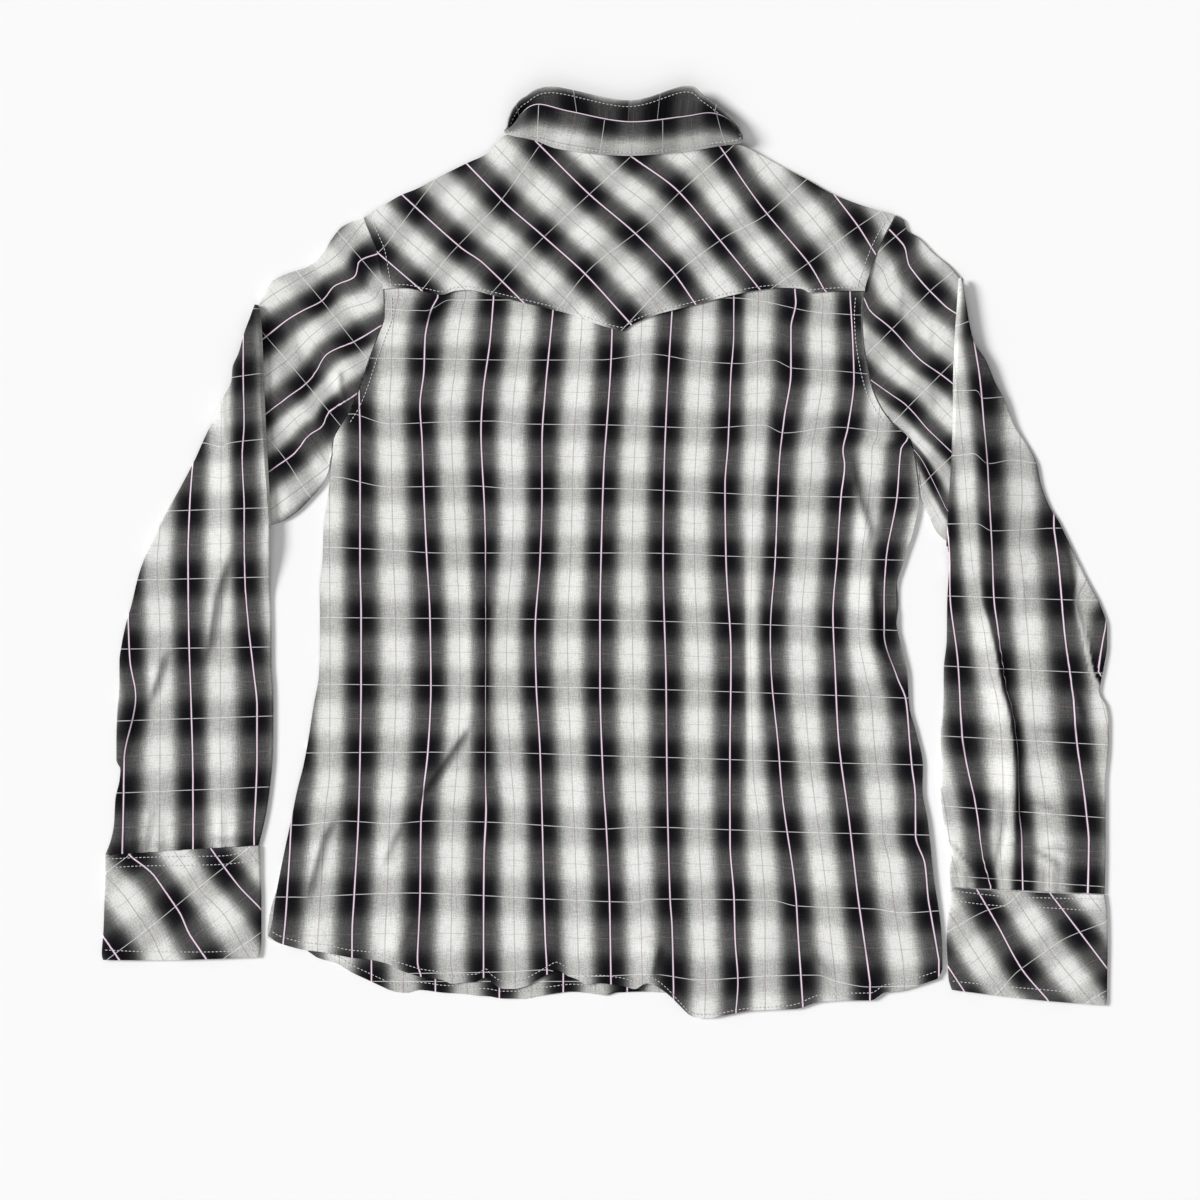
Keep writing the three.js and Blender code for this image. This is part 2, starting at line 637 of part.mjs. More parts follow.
// Upper edge of a front: the shoulder, then the scooped neckline
function frontTopY(x) {
  const inNeck = x > frontNeck[0].x && x < frontNeck[frontNeck.length - 1].x
  return inNeck ? frontNeckY(x) : topY(x) - FRONT_INSET
}

function frontLeft() {
  const inner = CENTRE_FRONT - BAND_HALF - GAP
  const hem = [FRONT_HEM_ENDS[0], inner]
  const shoulder = [FRONT_SHOULDER_ENDS[0], inner]
  const edges = edgesOf(hem, shoulder, frontHemY, frontTopY, frontLeftX, () => inner)
  const neck = (frontNeck[0].x - shoulder[0]) / (inner - shoulder[0])
  const { outerColumns, innerColumns } = FRONT_GRID
  const stops = [...evenStops(outerColumns, 0, neck), ...evenStops(innerColumns, neck, 1).slice(1)]
  return panel(edges, stops, FRONT_GRID.rows, flat)
}

function frontRight() {
  const inner = CENTRE_FRONT + BAND_HALF + GAP
  const hem = [inner, FRONT_HEM_ENDS[1]]
  const shoulder = [inner, FRONT_SHOULDER_ENDS[1]]
  const edges = edgesOf(hem, shoulder, frontHemY, frontTopY, () => inner, frontRightX)
  const neck = (frontNeck[frontNeck.length - 1].x - inner) / (shoulder[1] - inner)
  const { innerColumns } = FRONT_GRID
  const stops = [...evenStops(innerColumns, 0, neck), ...evenStops(innerColumns, neck, 1).slice(1)]
  return panel(edges, stops, FRONT_GRID.rows, flat)
}

function frontSnapPlaces() {
  return Array.from({ length: FRONT_SNAPS }, (_, i) => ({ x: CENTRE_FRONT, y: TOP_SNAP_Y - i * SNAP_PITCH }))
}

// Outer band of the front opening, with a hole for each snap's cap
function placketBand() {
  const left = CENTRE_FRONT - BAND_HALF
  const right = CENTRE_FRONT + BAND_HALF
  const edges = edgesOf([left, right], [left, right], frontHemY, frontNeckY, () => left, () => right)
  const band = panel(edges, evenStops(BAND_GRID.columns), BAND_GRID.rows, flat)
  return withHoles(band, frontSnapPlaces(), SNAP_HOLE, -1, WALL + 1)
}

// Band of the other front, which lies above it, with a hole for each snap's post
function underlapBand() {
  const left = CENTRE_FRONT - BAND_HALF + UNDERLAP.left
  const right = CENTRE_FRONT + BAND_HALF + UNDERLAP.right
  const hem = x => frontHemY(x) + UNDERLAP.hem
  const neck = x => frontNeckY(x) + UNDERLAP.neck
  const edges = edgesOf([left, right], [left, right], hem, neck, () => left, () => right)
  const band = panel(edges, evenStops(BAND_GRID.columns), BAND_GRID.rows, () => LAYER)
  return withHoles(band, frontSnapPlaces(), POST_HOLE, LAYER - 1, LAYER + WALL + 1)
}

// A snap as it lies closed: its cap flush with the table, its post up through the cloth
function snap(height) {
  const profile = [
    [0, 0],
    [SNAP_CAP - SNAP_EDGE, 0],
    [SNAP_CAP, SNAP_EDGE],
    [SNAP_CAP, WALL],
    [SNAP_POST, WALL],
    [SNAP_POST, height],
    [0, height]
  ].map(([radius, z]) => new THREE.Vector2(radius, z))
  const turned = new THREE.LatheGeometry(profile, SNAP_SIDES)
  turned.rotateX(Math.PI / 2)
  return welded(turned)
}

function addSnap(name, place, height) {
  add(name, snap(height).translate(place.x, place.y, 0), snapMetal)
}

// Height of the lower sleeve's middle above the table where it crosses the elbow pleat
function elbowLevel(elbow, x, y) {
  const down = Math.min(1, Math.max(0, (elbow.topY - y) / (elbow.topY - elbow.endY)))
  const pleatX = mix(elbow.topX, elbow.endX, down)
  const aside = 1 - ease((x - pleatX) * elbow.side / ELBOW_SIDE_REACH)
  const below = 1 - ease((Math.min(elbow.endY, ELBOW_END_Y) - y) / ELBOW_END_REACH)
  return TUBE_HALF + 2 * PLEAT_PITCH * aside * below
}

// A flattened tube of cloth through lines that cross it, folded where a line is turned
function tube(lines, place, level, relief) {
  const loop = [{ s: 0, b: 0 }]
  for (const s of evenStops(TUBE_TOP, TUBE_EDGE, 1 - TUBE_EDGE)) loop.push({ s, b: 1 })
  loop.push({ s: 1, b: 0 })
  for (const s of evenStops(TUBE_UNDER, 1 - TUBE_EDGE, TUBE_EDGE)) loop.push({ s, b: -1 })
  const outside = []
  const inside = []
  for (const line of lines) {
    const across = new THREE.Vector3(line.inX - line.outX, line.inY - line.outY, 0)
    const length = across.length()
    const turn = THREE.MathUtils.degToRad(line.turn ?? 0)
    const forward = travel(lines, line, across)
    const normal = new THREE.Vector3(0, 0, Math.cos(turn)).addScaledVector(forward, -Math.sin(turn))
    const outerRing = []
    const innerRing = []
    for (const { s, b } of loop) {
      const inset = (b === 0 ? EDGE_INSET : FACE_INSET) * WALL / length
      const middle = place(line, s)
      const held = place(line, Math.min(1 - inset, Math.max(inset, s)))
      middle.z = level(line, middle)
      held.z = level(line, held)
      const bump = b > 0 && !line.turn ? relief(middle.x, middle.y) : 0
      outerRing.push(middle.clone().addScaledVector(normal, b * TUBE_HALF + bump))
      innerRing.push(held.clone().addScaledVector(normal, b * (TUBE_HALF - WALL) + bump))
    }
    outside.push(outerRing)
    inside.push(innerRing)
  }
  return wall(inside, outside, true)
}

// Level direction in which the cloth runs on at a line, before any fold
function travel(lines, line, across) {
  const first = lines[0]
  const last = lines[lines.length - 1]
  const along = new THREE.Vector3(last.inX + last.outX - first.inX - first.outX,
    last.inY + last.outY - first.inY - first.outY, 0)
  const forward = new THREE.Vector3(-across.y, across.x, 0).normalize()
  return forward.dot(along) < 0 ? forward.negate() : forward
}

function sleeve(lines, elbow, bodySide, folds, sideSign) {
  const armhole = lines[0]
  const topEnd = armhole.outY
  const lowEnd = armhole.inY
  const place = (line, s) => {
    const y = mix(line.outY, line.inY, s)
    const seamY = mix(topEnd, lowEnd, s)
    const curved = bodySide(seamY) + sideSign * SLEEVE_GAP - mix(armhole.outX, armhole.inX, s)
    let x = mix(line.outX, line.inX, s) + line.bow * curved
    if (line.layer === 0) {
      const limit = bodySide(y) + sideSign * SLEEVE_GAP
      x = sideSign > 0 ? Math.max(x, limit) : Math.min(x, limit)
    }
    return new THREE.Vector3(x, y, 0)
  }
  const level = (line, at) => {
    return line.layer < 2 ? TUBE_HALF + line.layer * PLEAT_PITCH : elbowLevel(elbow, at.x, at.y)
  }
  return tube(lines, place, level, (x, y) => foldHeight(folds, x, y))
}

function cuff(lines, snaps) {
  const place = (line, s) => new THREE.Vector3(mix(line.outX, line.inX, s), mix(line.outY, line.inY, s), 0)
  const body = tube(lines, place, () => TUBE_HALF, () => 0)
  return withHoles(body, snaps, SNAP_HOLE, -1, WALL + 0.1)
}

// A closed smooth line through one column of the collar's sections
function roundCurve(column) {
  const points = collarSections.map(section => new THREE.Vector3(...section[column]))
  return new THREE.CatmullRomCurve3(points, true, 'catmullrom', 0.5)
}

const seamRound = roundCurve('seam')
const rollRound = roundCurve('roll')
const edgeRound = roundCurve('edge')

function openness(t) {
  const place = t * collarSections.length
  const i = Math.floor(place) % collarSections.length
  const next = (i + 1) % collarSections.length
  return mix(collarSections[i].open, collarSections[next].open, place - Math.floor(place))
}

// Middle surface of the leaf, from the roll (row 0) to its edge
function leafPoint(t, s) {
  const roll = rollRound.getPoint(t)
  const edge = edgeRound.getPoint(t)
  const open = openness(t)
  const point = roll.clone().lerp(edge, s)
  point.z = mix(roll.z, edge.z, mix(s, Math.pow(s, LEAF_LIFT), open))
  const bulge = (1 - open) * LEAF_BULGE * Math.sin(Math.PI * s)
  return point.add(new THREE.Vector3(0, -BULGE_OUT * bulge, BULGE_UP * bulge))
}

// Middle surface of the stand, from the neck seam (row 0) up to just under the roll
function standPoint(t, s) {
  const seam = seamRound.getPoint(t)
  const roll = rollRound.getPoint(t)
  const reach = 1 - ROLL_CLEARANCE / seam.distanceTo(roll)
  return seam.lerp(roll, s * reach)
}

// A wall on both sides of a middle surface that runs from one place round the neck to another,
// or right round where both places are the same
function collarWall(point, steps, from, to, count) {
  const around = to - from === 1
  const middle = []
  for (let r = 0; r <= steps; r++) {
    const places = around ? evenStops(count + 1, from, to).slice(0, -1) : evenStops(count, from, to)
    middle.push(places.map(t => point(t % 1, r / steps)))
  }
  const last = middle[0].length - 1
  const low = []
  const high = []
  for (let r = 0; r <= steps; r++) {
    const before = middle[Math.max(0, r - 1)]
    const after = middle[Math.min(steps, r + 1)]
    const normals = middle[r].map((_, c) => {
      const next = c === last && around ? 0 : Math.min(last, c + 1)
      const previous = c === 0 && around ? last : Math.max(0, c - 1)
      const round = middle[r][next].clone().sub(middle[r][previous])
      return round.cross(after[c].clone().sub(before[c])).normalize()
    })
    low.push(middle[r].map((p, c) => p.clone().addScaledVector(normals[c], -WALL / 2)))
    high.push(middle[r].map((p, c) => p.clone().addScaledVector(normals[c], WALL / 2)))
  }
  for (const point of [...low, ...high].flat()) point.z = Math.max(0, point.z)
  return wall(low, high, around)
}

// Place round the neck of one row of the collar's sections
function atSection(row) {
  return row / collarSections.length
}

function collarStand() {
  return collarWall(standPoint, STAND_STEPS, atSection(15), 1 + atSection(3), STAND_COLUMNS)
}

// Front stretch of the stand, flat between the fronts
function collarStandFront() {
  const stretch = collarWall(standPoint, STAND_STEPS, atSection(6), atSection(12), STAND_FRONT_COLUMNS)
  return withHoles(stretch, [COLLAR_SNAP], SNAP_HOLE, -1, 2)
}

function buildShirt() {
  add('back', back(), plaidCloth)
  add('back_yoke', yoke(), plaidCloth)
  add('front_left', frontLeft(), plaidCloth)
  add('front_right', frontRight(), plaidCloth)
  add('placket_band', placketBand(), plaidCloth)
  add('underlap_band', underlapBand(), plaidCloth)
  add('sleeve_left', sleeve(leftSleeve, leftElbow, leftSide, leftSleeveFolds, -1), plaidCloth)
  add('sleeve_right', sleeve(rightSleeve, rightElbow, rightSide, rightSleeveFolds, 1), plaidCloth)
  add('cuff_left', cuff(leftCuff, leftCuffSnaps), plaidCloth)
  add('cuff_right', cuff(rightCuff, rightCuffSnaps), plaidCloth)
  add('collar_stand', collarStand(), plaidCloth)
  add('collar_stand_front', collarStandFront(), plaidCloth)
  add('collar_leaf', collarWall(leafPoint, LEAF_STEPS, 0, 1, COLLAR_STEPS), plaidCloth)
  frontSnapPlaces().forEach((place, i) => addSnap(`front_snap_${i + 1}`, place, LAYER + WALL))
  addSnap('collar_snap', COLLAR_SNAP, LAYER)
  const cuffPost = WALL + CUFF_POST_PROUD
  leftCuffSnaps.forEach((place, i) => addSnap(`cuff_left_snap_${i + 1}`, place, cuffPost))
  rightCuffSnaps.forEach((place, i) => addSnap(`cuff_right_snap_${i + 1}`, place, cuffPost))
}

buildShirt()
const box = new THREE.Box3().setFromObject(shirt)
const centre = box.getCenter(new THREE.Vector3())
shirt.position.set(-centre.x, -centre.y, 0)

export default shirt
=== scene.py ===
"""Western snap shirt laid flat on its front: cloth, sewing, snaps, floor, light and camera."""

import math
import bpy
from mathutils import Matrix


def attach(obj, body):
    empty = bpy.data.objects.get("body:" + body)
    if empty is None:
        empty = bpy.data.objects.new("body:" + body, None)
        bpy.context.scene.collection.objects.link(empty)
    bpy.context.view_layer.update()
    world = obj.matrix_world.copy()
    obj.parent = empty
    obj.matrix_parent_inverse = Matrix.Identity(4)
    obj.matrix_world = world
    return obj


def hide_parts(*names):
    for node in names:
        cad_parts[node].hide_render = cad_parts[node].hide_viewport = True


bl_info = {
    "name": "Western snap shirt",
    "version": (1, 0, 0),
    "blender": (4, 5, 0),
    "location": "View3D > Sidebar > Shirt",
    "description": "Dresses the frame of a plaid western shirt in cloth, sewing and snaps",
    "category": "Object",
}

import bpy
import numpy as np
from mathutils import Matrix

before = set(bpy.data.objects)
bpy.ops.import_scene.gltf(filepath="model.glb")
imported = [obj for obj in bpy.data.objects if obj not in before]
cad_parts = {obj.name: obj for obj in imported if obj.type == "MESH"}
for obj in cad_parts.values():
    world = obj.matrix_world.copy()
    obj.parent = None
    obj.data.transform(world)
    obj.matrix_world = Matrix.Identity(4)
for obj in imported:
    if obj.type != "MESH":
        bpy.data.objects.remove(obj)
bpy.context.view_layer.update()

# The tables below are drawn on a chart that looks straight down on the shirt:
# across runs to the right, down runs towards the hem, one step is 0.76 mm.
CHART_STEP = 0.00076
CHART_MM = 0.76
CHART_MIDDLE = (606.0, 553.0)
FRAME_SHIFT = (0.00025, 0.00002)
MM = 0.001

# Layers, in millimetres, as in the solids
WALL = 1.2
LAYER = 1.6
TUBE_HALF = 1.4
PLEAT_PITCH = 3.2
CREASE_DEPTH = 1.35

# Thread above the cloth, and the share of the cloth's thickness that a tube's layer has
THREAD_LIFT = 0.25
TUBE_CLOTH = 0.7

# Left and right edge of the body at a row of the chart
BODY_ROWS = [
    (212, 362.5, 897.5), (218, 364, 895), (236, 371, 885), (251, 377, 878), (270, 380.5, 871),
    (290, 383.5, 864.5), (315, 384, 862.5), (337, 377, 863.5), (362, 368, 867), (388, 359.5, 873),
    (408, 351, 882), (423, 342, 893), (440, 333, 911), (472, 330, 917.5), (500, 327, 920),
    (528, 323, 915), (560, 322, 905), (590, 319, 897), (620, 319.5, 897), (647, 319.5, 902),
    (675, 318.5, 908), (707, 313, 910), (733, 309, 917), (766, 303, 923.5), (790, 297, 923),
    (820, 291, 928), (848, 285, 931), (878, 279, 934), (900, 275, 937.5), (925, 271.5, 941),
    (936, 268, 941.8), (949, 267, 942.5), (969, 266, 942.5), (979, 265, 937.5), (990, 264, 935),
]

BACK_HEM = [
    (268, 936), (279, 943), (305, 950), (325, 952.5), (337, 955), (353, 958), (365, 959), (388, 964),
    (397, 969), (411, 974), (422, 977), (442, 980), (453, 984), (463, 982.5), (476, 982), (486, 977),
    (492, 983), (503, 989), (513, 989), (525, 986.5), (536, 981), (550, 973), (556, 970), (568, 976),
    (579, 980), (585, 984), (599, 983), (610, 984), (624, 986), (635, 989), (646, 983), (654, 985),
    (661, 989), (670, 996), (681, 1007), (691, 1016), (698, 1018), (710, 1018), (722, 1016),
    (737, 1013), (751, 1011), (770, 1010), (795, 1009), (820, 1002), (848, 1000.5), (871, 1000.5),
    (885, 992.5), (898, 991), (921, 984.5), (937.5, 979),
]

FRONT_HEM = [
    (266, 938), (279, 944), (305, 950), (317, 958), (337, 964), (350, 972), (369, 981), (384, 988),
    (394, 992), (404, 993), (417, 990), (428, 991), (442, 993), (462, 994), (476, 996), (487, 996.5),
    (503, 999), (522, 999), (533, 997), (554, 994), (572, 992), (593, 994), (606, 996), (616, 993),
    (642, 992), (665, 993), (700, 1012), (751, 1006), (820, 998), (871, 996), (898, 987), (937, 976),
]

YOKE_SEAM = [
    (383, 289), (402, 288), (426, 292), (442, 295), (455, 291), (467, 290), (491, 295), (524, 303),
    (553, 310), (569, 314), (593, 323), (612, 329), (622, 331), (632, 325), (656, 315), (691, 306),
    (734, 295), (760, 290), (784, 288), (802, 289), (810, 293), (825, 292), (847, 291), (864.5, 291),
]

SHOULDERS = [
    (363.8, 217.5), (384, 205), (401, 195), (416, 189), (437, 178), (467, 163), (487, 154), (498, 142),
    (507, 135.5), (524, 135.3), (553, 134.3), (626, 133.5), (685, 134.8), (711, 139), (727, 144.5),
    (740, 146), (760, 155), (781, 166), (806, 179), (833, 194), (864, 206), (895, 214.5),
]

FRONT_NECK = [
    (507, 137), (512.6, 166), (522, 197), (537.6, 217), (570.5, 235), (624.4, 242.5), (675.7, 234.6),
    (702.7, 222), (724.4, 201.7), (733.6, 165), (740, 148),
]

# Upper sleeves: the edge from the shoulder, and the underarm edge
LEFT_CROWN = [
    (363, 217), (342, 226), (331, 239), (323, 252), (308, 266), (288, 273), (272, 281), (262.6, 295),
]
LEFT_UNDERARM = [(333, 440), (330.5, 457), (328, 473), (306, 503), (290, 517), (275, 524), (261.3, 526)]
RIGHT_CROWN = [(896, 215), (903, 219), (907.5, 230.5), (917, 236), (934, 253), (950, 266), (959.2, 277)]
RIGHT_UNDERARM = [(911.5, 441), (919, 470), (921, 495), (928, 513.5), (937.6, 533), (952, 545)]

# Fold edges of the elbows, top to bottom
LEFT_FOLD = [(257, 304), (259.5, 315), (261, 338), (264, 413), (267, 472), (270, 526)]
RIGHT_FOLD = [
    (960, 277), (958, 308), (956.5, 327), (954.5, 375), (954, 413), (953, 452), (951, 486), (947.5, 548),
]

# Outer and inner edges of the lower sleeves, by row
LEFT_OUTER = [
    (303, 256), (317, 251), (333, 245), (354, 239), (368, 233), (381, 232), (397, 224), (421, 213),
    (437, 205), (461, 194), (491, 178), (520, 162), (546, 149), (576, 138), (605, 131), (626, 125),
    (646, 121), (661, 119), (684, 119), (711, 117), (737, 116), (761, 116), (769, 120), (781, 119),
    (799, 115), (825, 113.5), (840, 110.5), (855, 105),
]
LEFT_INNER = [
    (526, 270), (579, 270), (637, 271), (661, 271), (696, 273), (720, 273), (755, 272.5), (784, 270),
    (807, 267), (827, 263), (845, 258.5),
]
RIGHT_OUTER = [
    (277, 961), (301, 965), (326, 969), (343, 973.5), (360, 985), (385, 996), (399, 1004), (424, 1014),
    (449, 1030), (463, 1037), (483, 1041), (507, 1050), (519.5, 1058), (548, 1072), (577, 1086),
    (607, 1101.5), (627.5, 1107.4), (645, 1107.4), (668.5, 1104), (692, 1100), (707, 1107.4),
    (724, 1109.4), (748, 1109), (783, 1106), (815, 1106), (853, 1106), (894, 1105),
]
RIGHT_INNER = [
    (548, 947), (560, 949), (598, 947.5), (639, 947), (671, 944), (692, 944), (718, 943), (736, 941),
    (760, 941.6), (789, 941), (809, 942.5), (833, 946), (853, 952), (871, 950), (887, 951),
]

# Sections of the collar in millimetres, once round from the middle of the back to the right:
# neck seam, roll, edge of the leaf, and how far the leaf stands open
COLLAR = [
    ((15, 321.2, 5), (16, 324.1, 27), (13.7, 301.7, 6.9), 0),
    ((50, 320.6, 5), (57, 328, 26), (59.3, 304.8, 6.9), 0),
    ((77, 318.4, 5), (79, 331.5, 22), (86, 309, 7.2), 0),
    ((90, 316.5, 4.6), (93.5, 326, 15), (102.6, 311.8, 7.4), 0.2),
    ((96.5, 309.5, 2.4), (97.2, 314.5, 4.6), (101.5, 320.5, 9), 0.7),
    ((94.5, 293, 0.6), (91.3, 298, 0.6), (98.2, 326.5, 10), 1),
    ((87.4, 269, 0.6), (79, 288, 0.6), (90.4, 334, 12), 1),
    ((71.6, 254, 0.6), (66, 279, 0.6), (74, 346, 13), 1),
    ((52, 244, 0.6), (49, 270, 0.6), (59.7, 353.2, 13), 1),
    ((14, 238, 0.6), (14, 265, 0.6), (17, 342.4, 12), 1),
    ((-26, 243.4, 0.6), (-23, 270, 0.6), (-41, 352.6, 13), 1),
    ((-50, 257.4, 0.6), (-44, 280, 0.6), (-61.6, 345, 12), 1),
    ((-62, 272.4, 0.6), (-55, 290, 0.6), (-70, 337, 11), 1),
    ((-69, 296, 0.6), (-65.8, 301, 0.6), (-73.8, 329, 10), 1),
    ((-69.8, 313, 2.4), (-70.4, 318.4, 4.6), (-75.2, 323, 9), 0.7),
    ((-62.6, 321, 4.6), (-65, 330, 15), (-75.4, 318, 7.4), 0.2),
    ((-47, 321.4, 5), (-52, 338, 22), (-53.6, 313.1, 7.2), 0),
    ((-22, 321.6, 5), (-27, 332, 26), (-33.4, 306.3, 6.9), 0),
]

# Lines of the plaid. A whole number is the bright line in the middle of a dark stripe, a half
# is the thin line in the middle of a light one. A third value gives a place its own number.
BACK_WARP = [
    (0, [(299, 780), (292, 813), (289.5, 857), (288, 880), (285, 924), (283, 943)]),
    (1, [(359, 388), (360, 431), (360, 476), (360, 560), (361, 616), (361, 677), (360, 751),
         (358.5, 816), (354, 898), (352, 936), (352, 955)]),
    (2, [(438, 297), (431, 311), (425, 339), (424, 370), (420, 406), (422, 439), (424, 496), (427, 560),
         (430, 616), (431, 686), (428, 751), (424, 788), (421, 820), (420, 898), (419, 924),
         (417.5, 962), (421, 976)]),
    (3, [(491, 298, 2.96), (487.5, 341, 2.96), (480.5, 394, 2.96), (478.5, 431, 2.96), (482, 504, 2.96),
         (484, 553, 2.96), (484.3, 610, 2.93), (484.3, 681, 2.92), (484, 760, 2.94),
         (483, 811, 2.96), (481, 859, 2.96), (481, 928, 2.96), (481, 974, 2.96)]),
    (3, [(496, 298, 3.04), (492.5, 341, 3.04), (485.5, 394, 3.04), (483.5, 431, 3.04), (486, 504, 3.03),
         (488.5, 553, 3.08), (489, 610, 3.17), (489, 681, 3.2), (488.8, 760, 3.14),
         (489, 811, 3.04), (487, 859, 3.04), (486, 928, 3.04), (486, 974, 3.04)]),
    (4, [(553, 311), (550, 341), (545.5, 388), (542, 443), (542, 494), (540, 560), (535, 634),
         (536, 681), (540, 751), (542, 816), (544, 898), (545, 933), (547, 971)]),
    (5, [(612, 332), (611, 362), (607, 423), (604, 464), (601, 560), (600, 616), (600, 681), (603, 777),
         (606.5, 831), (609.5, 898), (611, 984)]),
    (6, [(672, 311), (669, 360), (666, 419), (664, 475), (663, 560), (666, 681), (667, 777),
         (670, 898), (672, 926), (673.5, 988)]),
    (7, [(734, 296), (734, 334), (731, 375), (728, 445), (725, 486), (726, 560), (731, 658),
         (730, 755), (730, 842), (734, 898), (735, 937), (738, 983), (736, 1012)]),
    (7.3, [(747, 440, 7.33), (744, 500, 7.32), (743, 540, 7.28), (744, 658, 7.22), (746, 770, 7.28),
           (750, 820, 7.35), (754, 859, 7.38), (758, 900, 7.4)]),
    (7.4, [(751, 440, 7.4), (748.5, 500, 7.41), (748.5, 540, 7.42), (749.5, 658, 7.47), (751.5, 770, 7.47),
           (755, 820, 7.43), (759, 859, 7.45), (763, 900, 7.47)]),
    (8, [(795, 290), (796, 302), (791, 328), (791, 371), (784, 419), (779, 464), (775, 560), (770, 636),
         (771, 673), (778, 744), (782, 794), (796, 898), (798, 933), (803, 1006)]),
    (9, [(850, 294), (853, 345), (854, 378), (848, 427), (843, 451), (844.6, 464), (841, 497),
         (837, 560), (833, 614), (835, 668), (838, 733), (849, 820), (858, 898), (862, 926), (870, 983)]),
    (10, [(908, 439), (901, 449), (897, 497), (886, 560), (884, 599), (884, 634), (897, 677),
          (906, 700), (910, 744), (912, 766), (915.5, 798), (915.5, 835), (925, 864), (928.5, 900),
          (931, 914), (939, 960)]),
]
BACK_WEFT = [
    (0, [(384, 309), (426, 311), (450, 300), (520, 300), (734, 298), (765, 302), (815, 312), (856, 315)]),
    (1, [(384, 358), (520, 360), (600, 360), (650, 354), (698, 361), (739, 363.5), (773, 360),
         (793, 368), (838, 371), (867, 374)]),
    (2, [(355, 414), (391, 424), (442, 422), (493, 421), (525, 424), (605, 425), (708, 428),
         (763, 425), (784, 433), (835, 427), (878, 431)]),
    (3, [(340, 477), (391, 487), (473, 486), (515, 488.6), (600, 488.6), (708, 492.5), (784, 496),
         (916, 498)]),
    (4, [(326, 547), (391, 550), (440, 553), (640, 553), (740, 556.5), (900, 560)]),
    (5, [(319, 617.5), (600, 620), (773, 625), (897, 630.5)]),
    (6, [(319, 684), (600, 688), (795, 694), (904, 698)]),
    (7, [(306, 753), (450, 752), (619, 756), (838, 763), (923, 765)]),
    (8, [(302, 825), (343, 821), (391, 823.5), (430, 821), (484, 822), (582, 828), (600, 829),
         (643, 827), (708, 829), (795, 832), (930, 835)]),
    (9, [(304, 897), (410, 893), (550, 899), (640, 902), (646, 899), (770, 900), (797, 906),
         (875, 909), (903, 913), (937, 911)]),
    (10, [(300, 975), (503, 972), (546, 970), (570, 976), (597, 976), (650, 974), (700, 980),
          (770, 976), (818, 975), (834, 981), (869, 987), (940, 985)]),
]
YOKE_WARP = [
    (1, [(378, 253), (421, 290)]),
    (2, [(401, 194), (460, 247), (484, 264), (526, 305)]),
    (3, [(466, 163), (501, 199), (544, 237), (587, 276), (632, 326)]),
    (4, [(537, 143), (587, 192), (640, 238), (667, 265), (696, 305)]),
    (5, [(631, 157), (680, 193), (719, 239), (760, 290)]),
    (6, [(719, 146), (767, 214), (806, 260), (824, 290)]),
    (7, [(833, 193), (858, 226), (876, 255)]),
]
YOKE_WEFT = [
    (1, [(385, 246), (434, 181)]),
    (2, [(423, 289), (455, 249), (491, 212), (539, 147)]),
    (3, [(491, 294), (544, 237), (580, 203), (631, 157)]),
    (4, [(557, 310), (590, 269), (655, 217), (678, 194), (728, 151)]),
    (5, [(624, 328), (653, 297), (674, 276), (722, 239), (767, 214), (806, 180)]),
    (6, [(771, 289), (810, 262), (856, 228), (880, 212)]),
]
LEFT_UPPER_WARP = [
    (0.5, [(363, 223), (331, 260), (302, 277), (272, 295)]),
    (1, [(377, 254), (360, 260), (354, 277), (334, 286), (322, 301), (304, 310), (284, 322), (264, 338)]),
    (1.5, [(382, 286), (374, 299), (342, 311), (312, 335), (285, 362), (263, 378)]),
    (2, [(382, 325), (358, 340), (327, 354), (315, 373), (306, 384), (283, 401), (265, 415)]),
    (3, [(352, 397), (330, 410), (320, 428), (311, 433), (292, 455), (268, 472)]),
    (3.5, [(304, 485), (269, 511)]),
]
LEFT_UPPER_WEFT = [
    (1, [(338, 232), (385, 287)]),
    (2, [(296, 270), (323, 302), (350, 337), (369, 361)]),
    (3, [(263, 333), (304, 381), (336, 420)]),
    (4, [(268, 437), (285, 459), (304, 489)]),
]
LEFT_LOWER_WARP = [
    (0, [(128, 620), (130, 661), (136, 697), (124, 761), (123, 813), (122, 851)]),
    (0.5, [(160, 529), (157, 564), (160, 637), (160, 731), (159.5, 849)]),
    (1, [(193, 461), (190, 502), (188, 560), (188, 579), (189, 646), (191, 702), (193, 784), (193, 851)]),
    (1.5, [(222, 483), (222, 520), (222, 590), (220.5, 637), (220, 725), (222, 831)]),
    (2, [(244, 337), (244, 373), (245, 424), (243, 456), (245, 510), (245, 579), (248, 623), (253, 667),
         (257, 708), (257, 755), (254, 831)]),
]
LEFT_LOWER_WEFT = [
    (0, [(200, 309), (261, 309.5)]),
    (1, [(233, 378), (261, 374)]),
    (2, [(205, 443), (225, 447.5), (228, 444), (264, 439.5)]),
    (3, [(166, 511), (268, 508)]),
    (4, [(138, 580), (269, 577)]),
    (5, [(124, 649), (270, 647)]),
    (6, [(118, 721), (272, 716)]),
    (7, [(121, 793), (267, 787)]),
]
RIGHT_UPPER_WARP = [
    (1, [(890, 230), (903, 244), (910, 267), (930, 291), (945, 306), (957, 314)]),
    (2, [(864, 298), (871, 312), (892, 329), (920, 360), (940, 374), (952, 383)]),
    (3, [(870, 380), (889, 393), (907, 406), (931, 433), (951, 452)]),
    (3.5, [(880, 412), (905, 430), (930, 455), (951, 480)]),
    (3.9, [(897, 428), (919, 452), (935, 480), (948, 508)]),
    (4.4, [(894, 440), (914, 466), (932, 500), (948, 528)]),
    (4.6, [(890, 455), (912, 480), (930, 508), (948, 540)]),
]
RIGHT_UPPER_WEFT = [
    (1, [(867, 354), (906, 315), (929, 292), (954, 271)]),
    (2, [(896, 420), (916, 399), (954, 361)]),
    (3, [(937, 470), (950, 458)]),
]
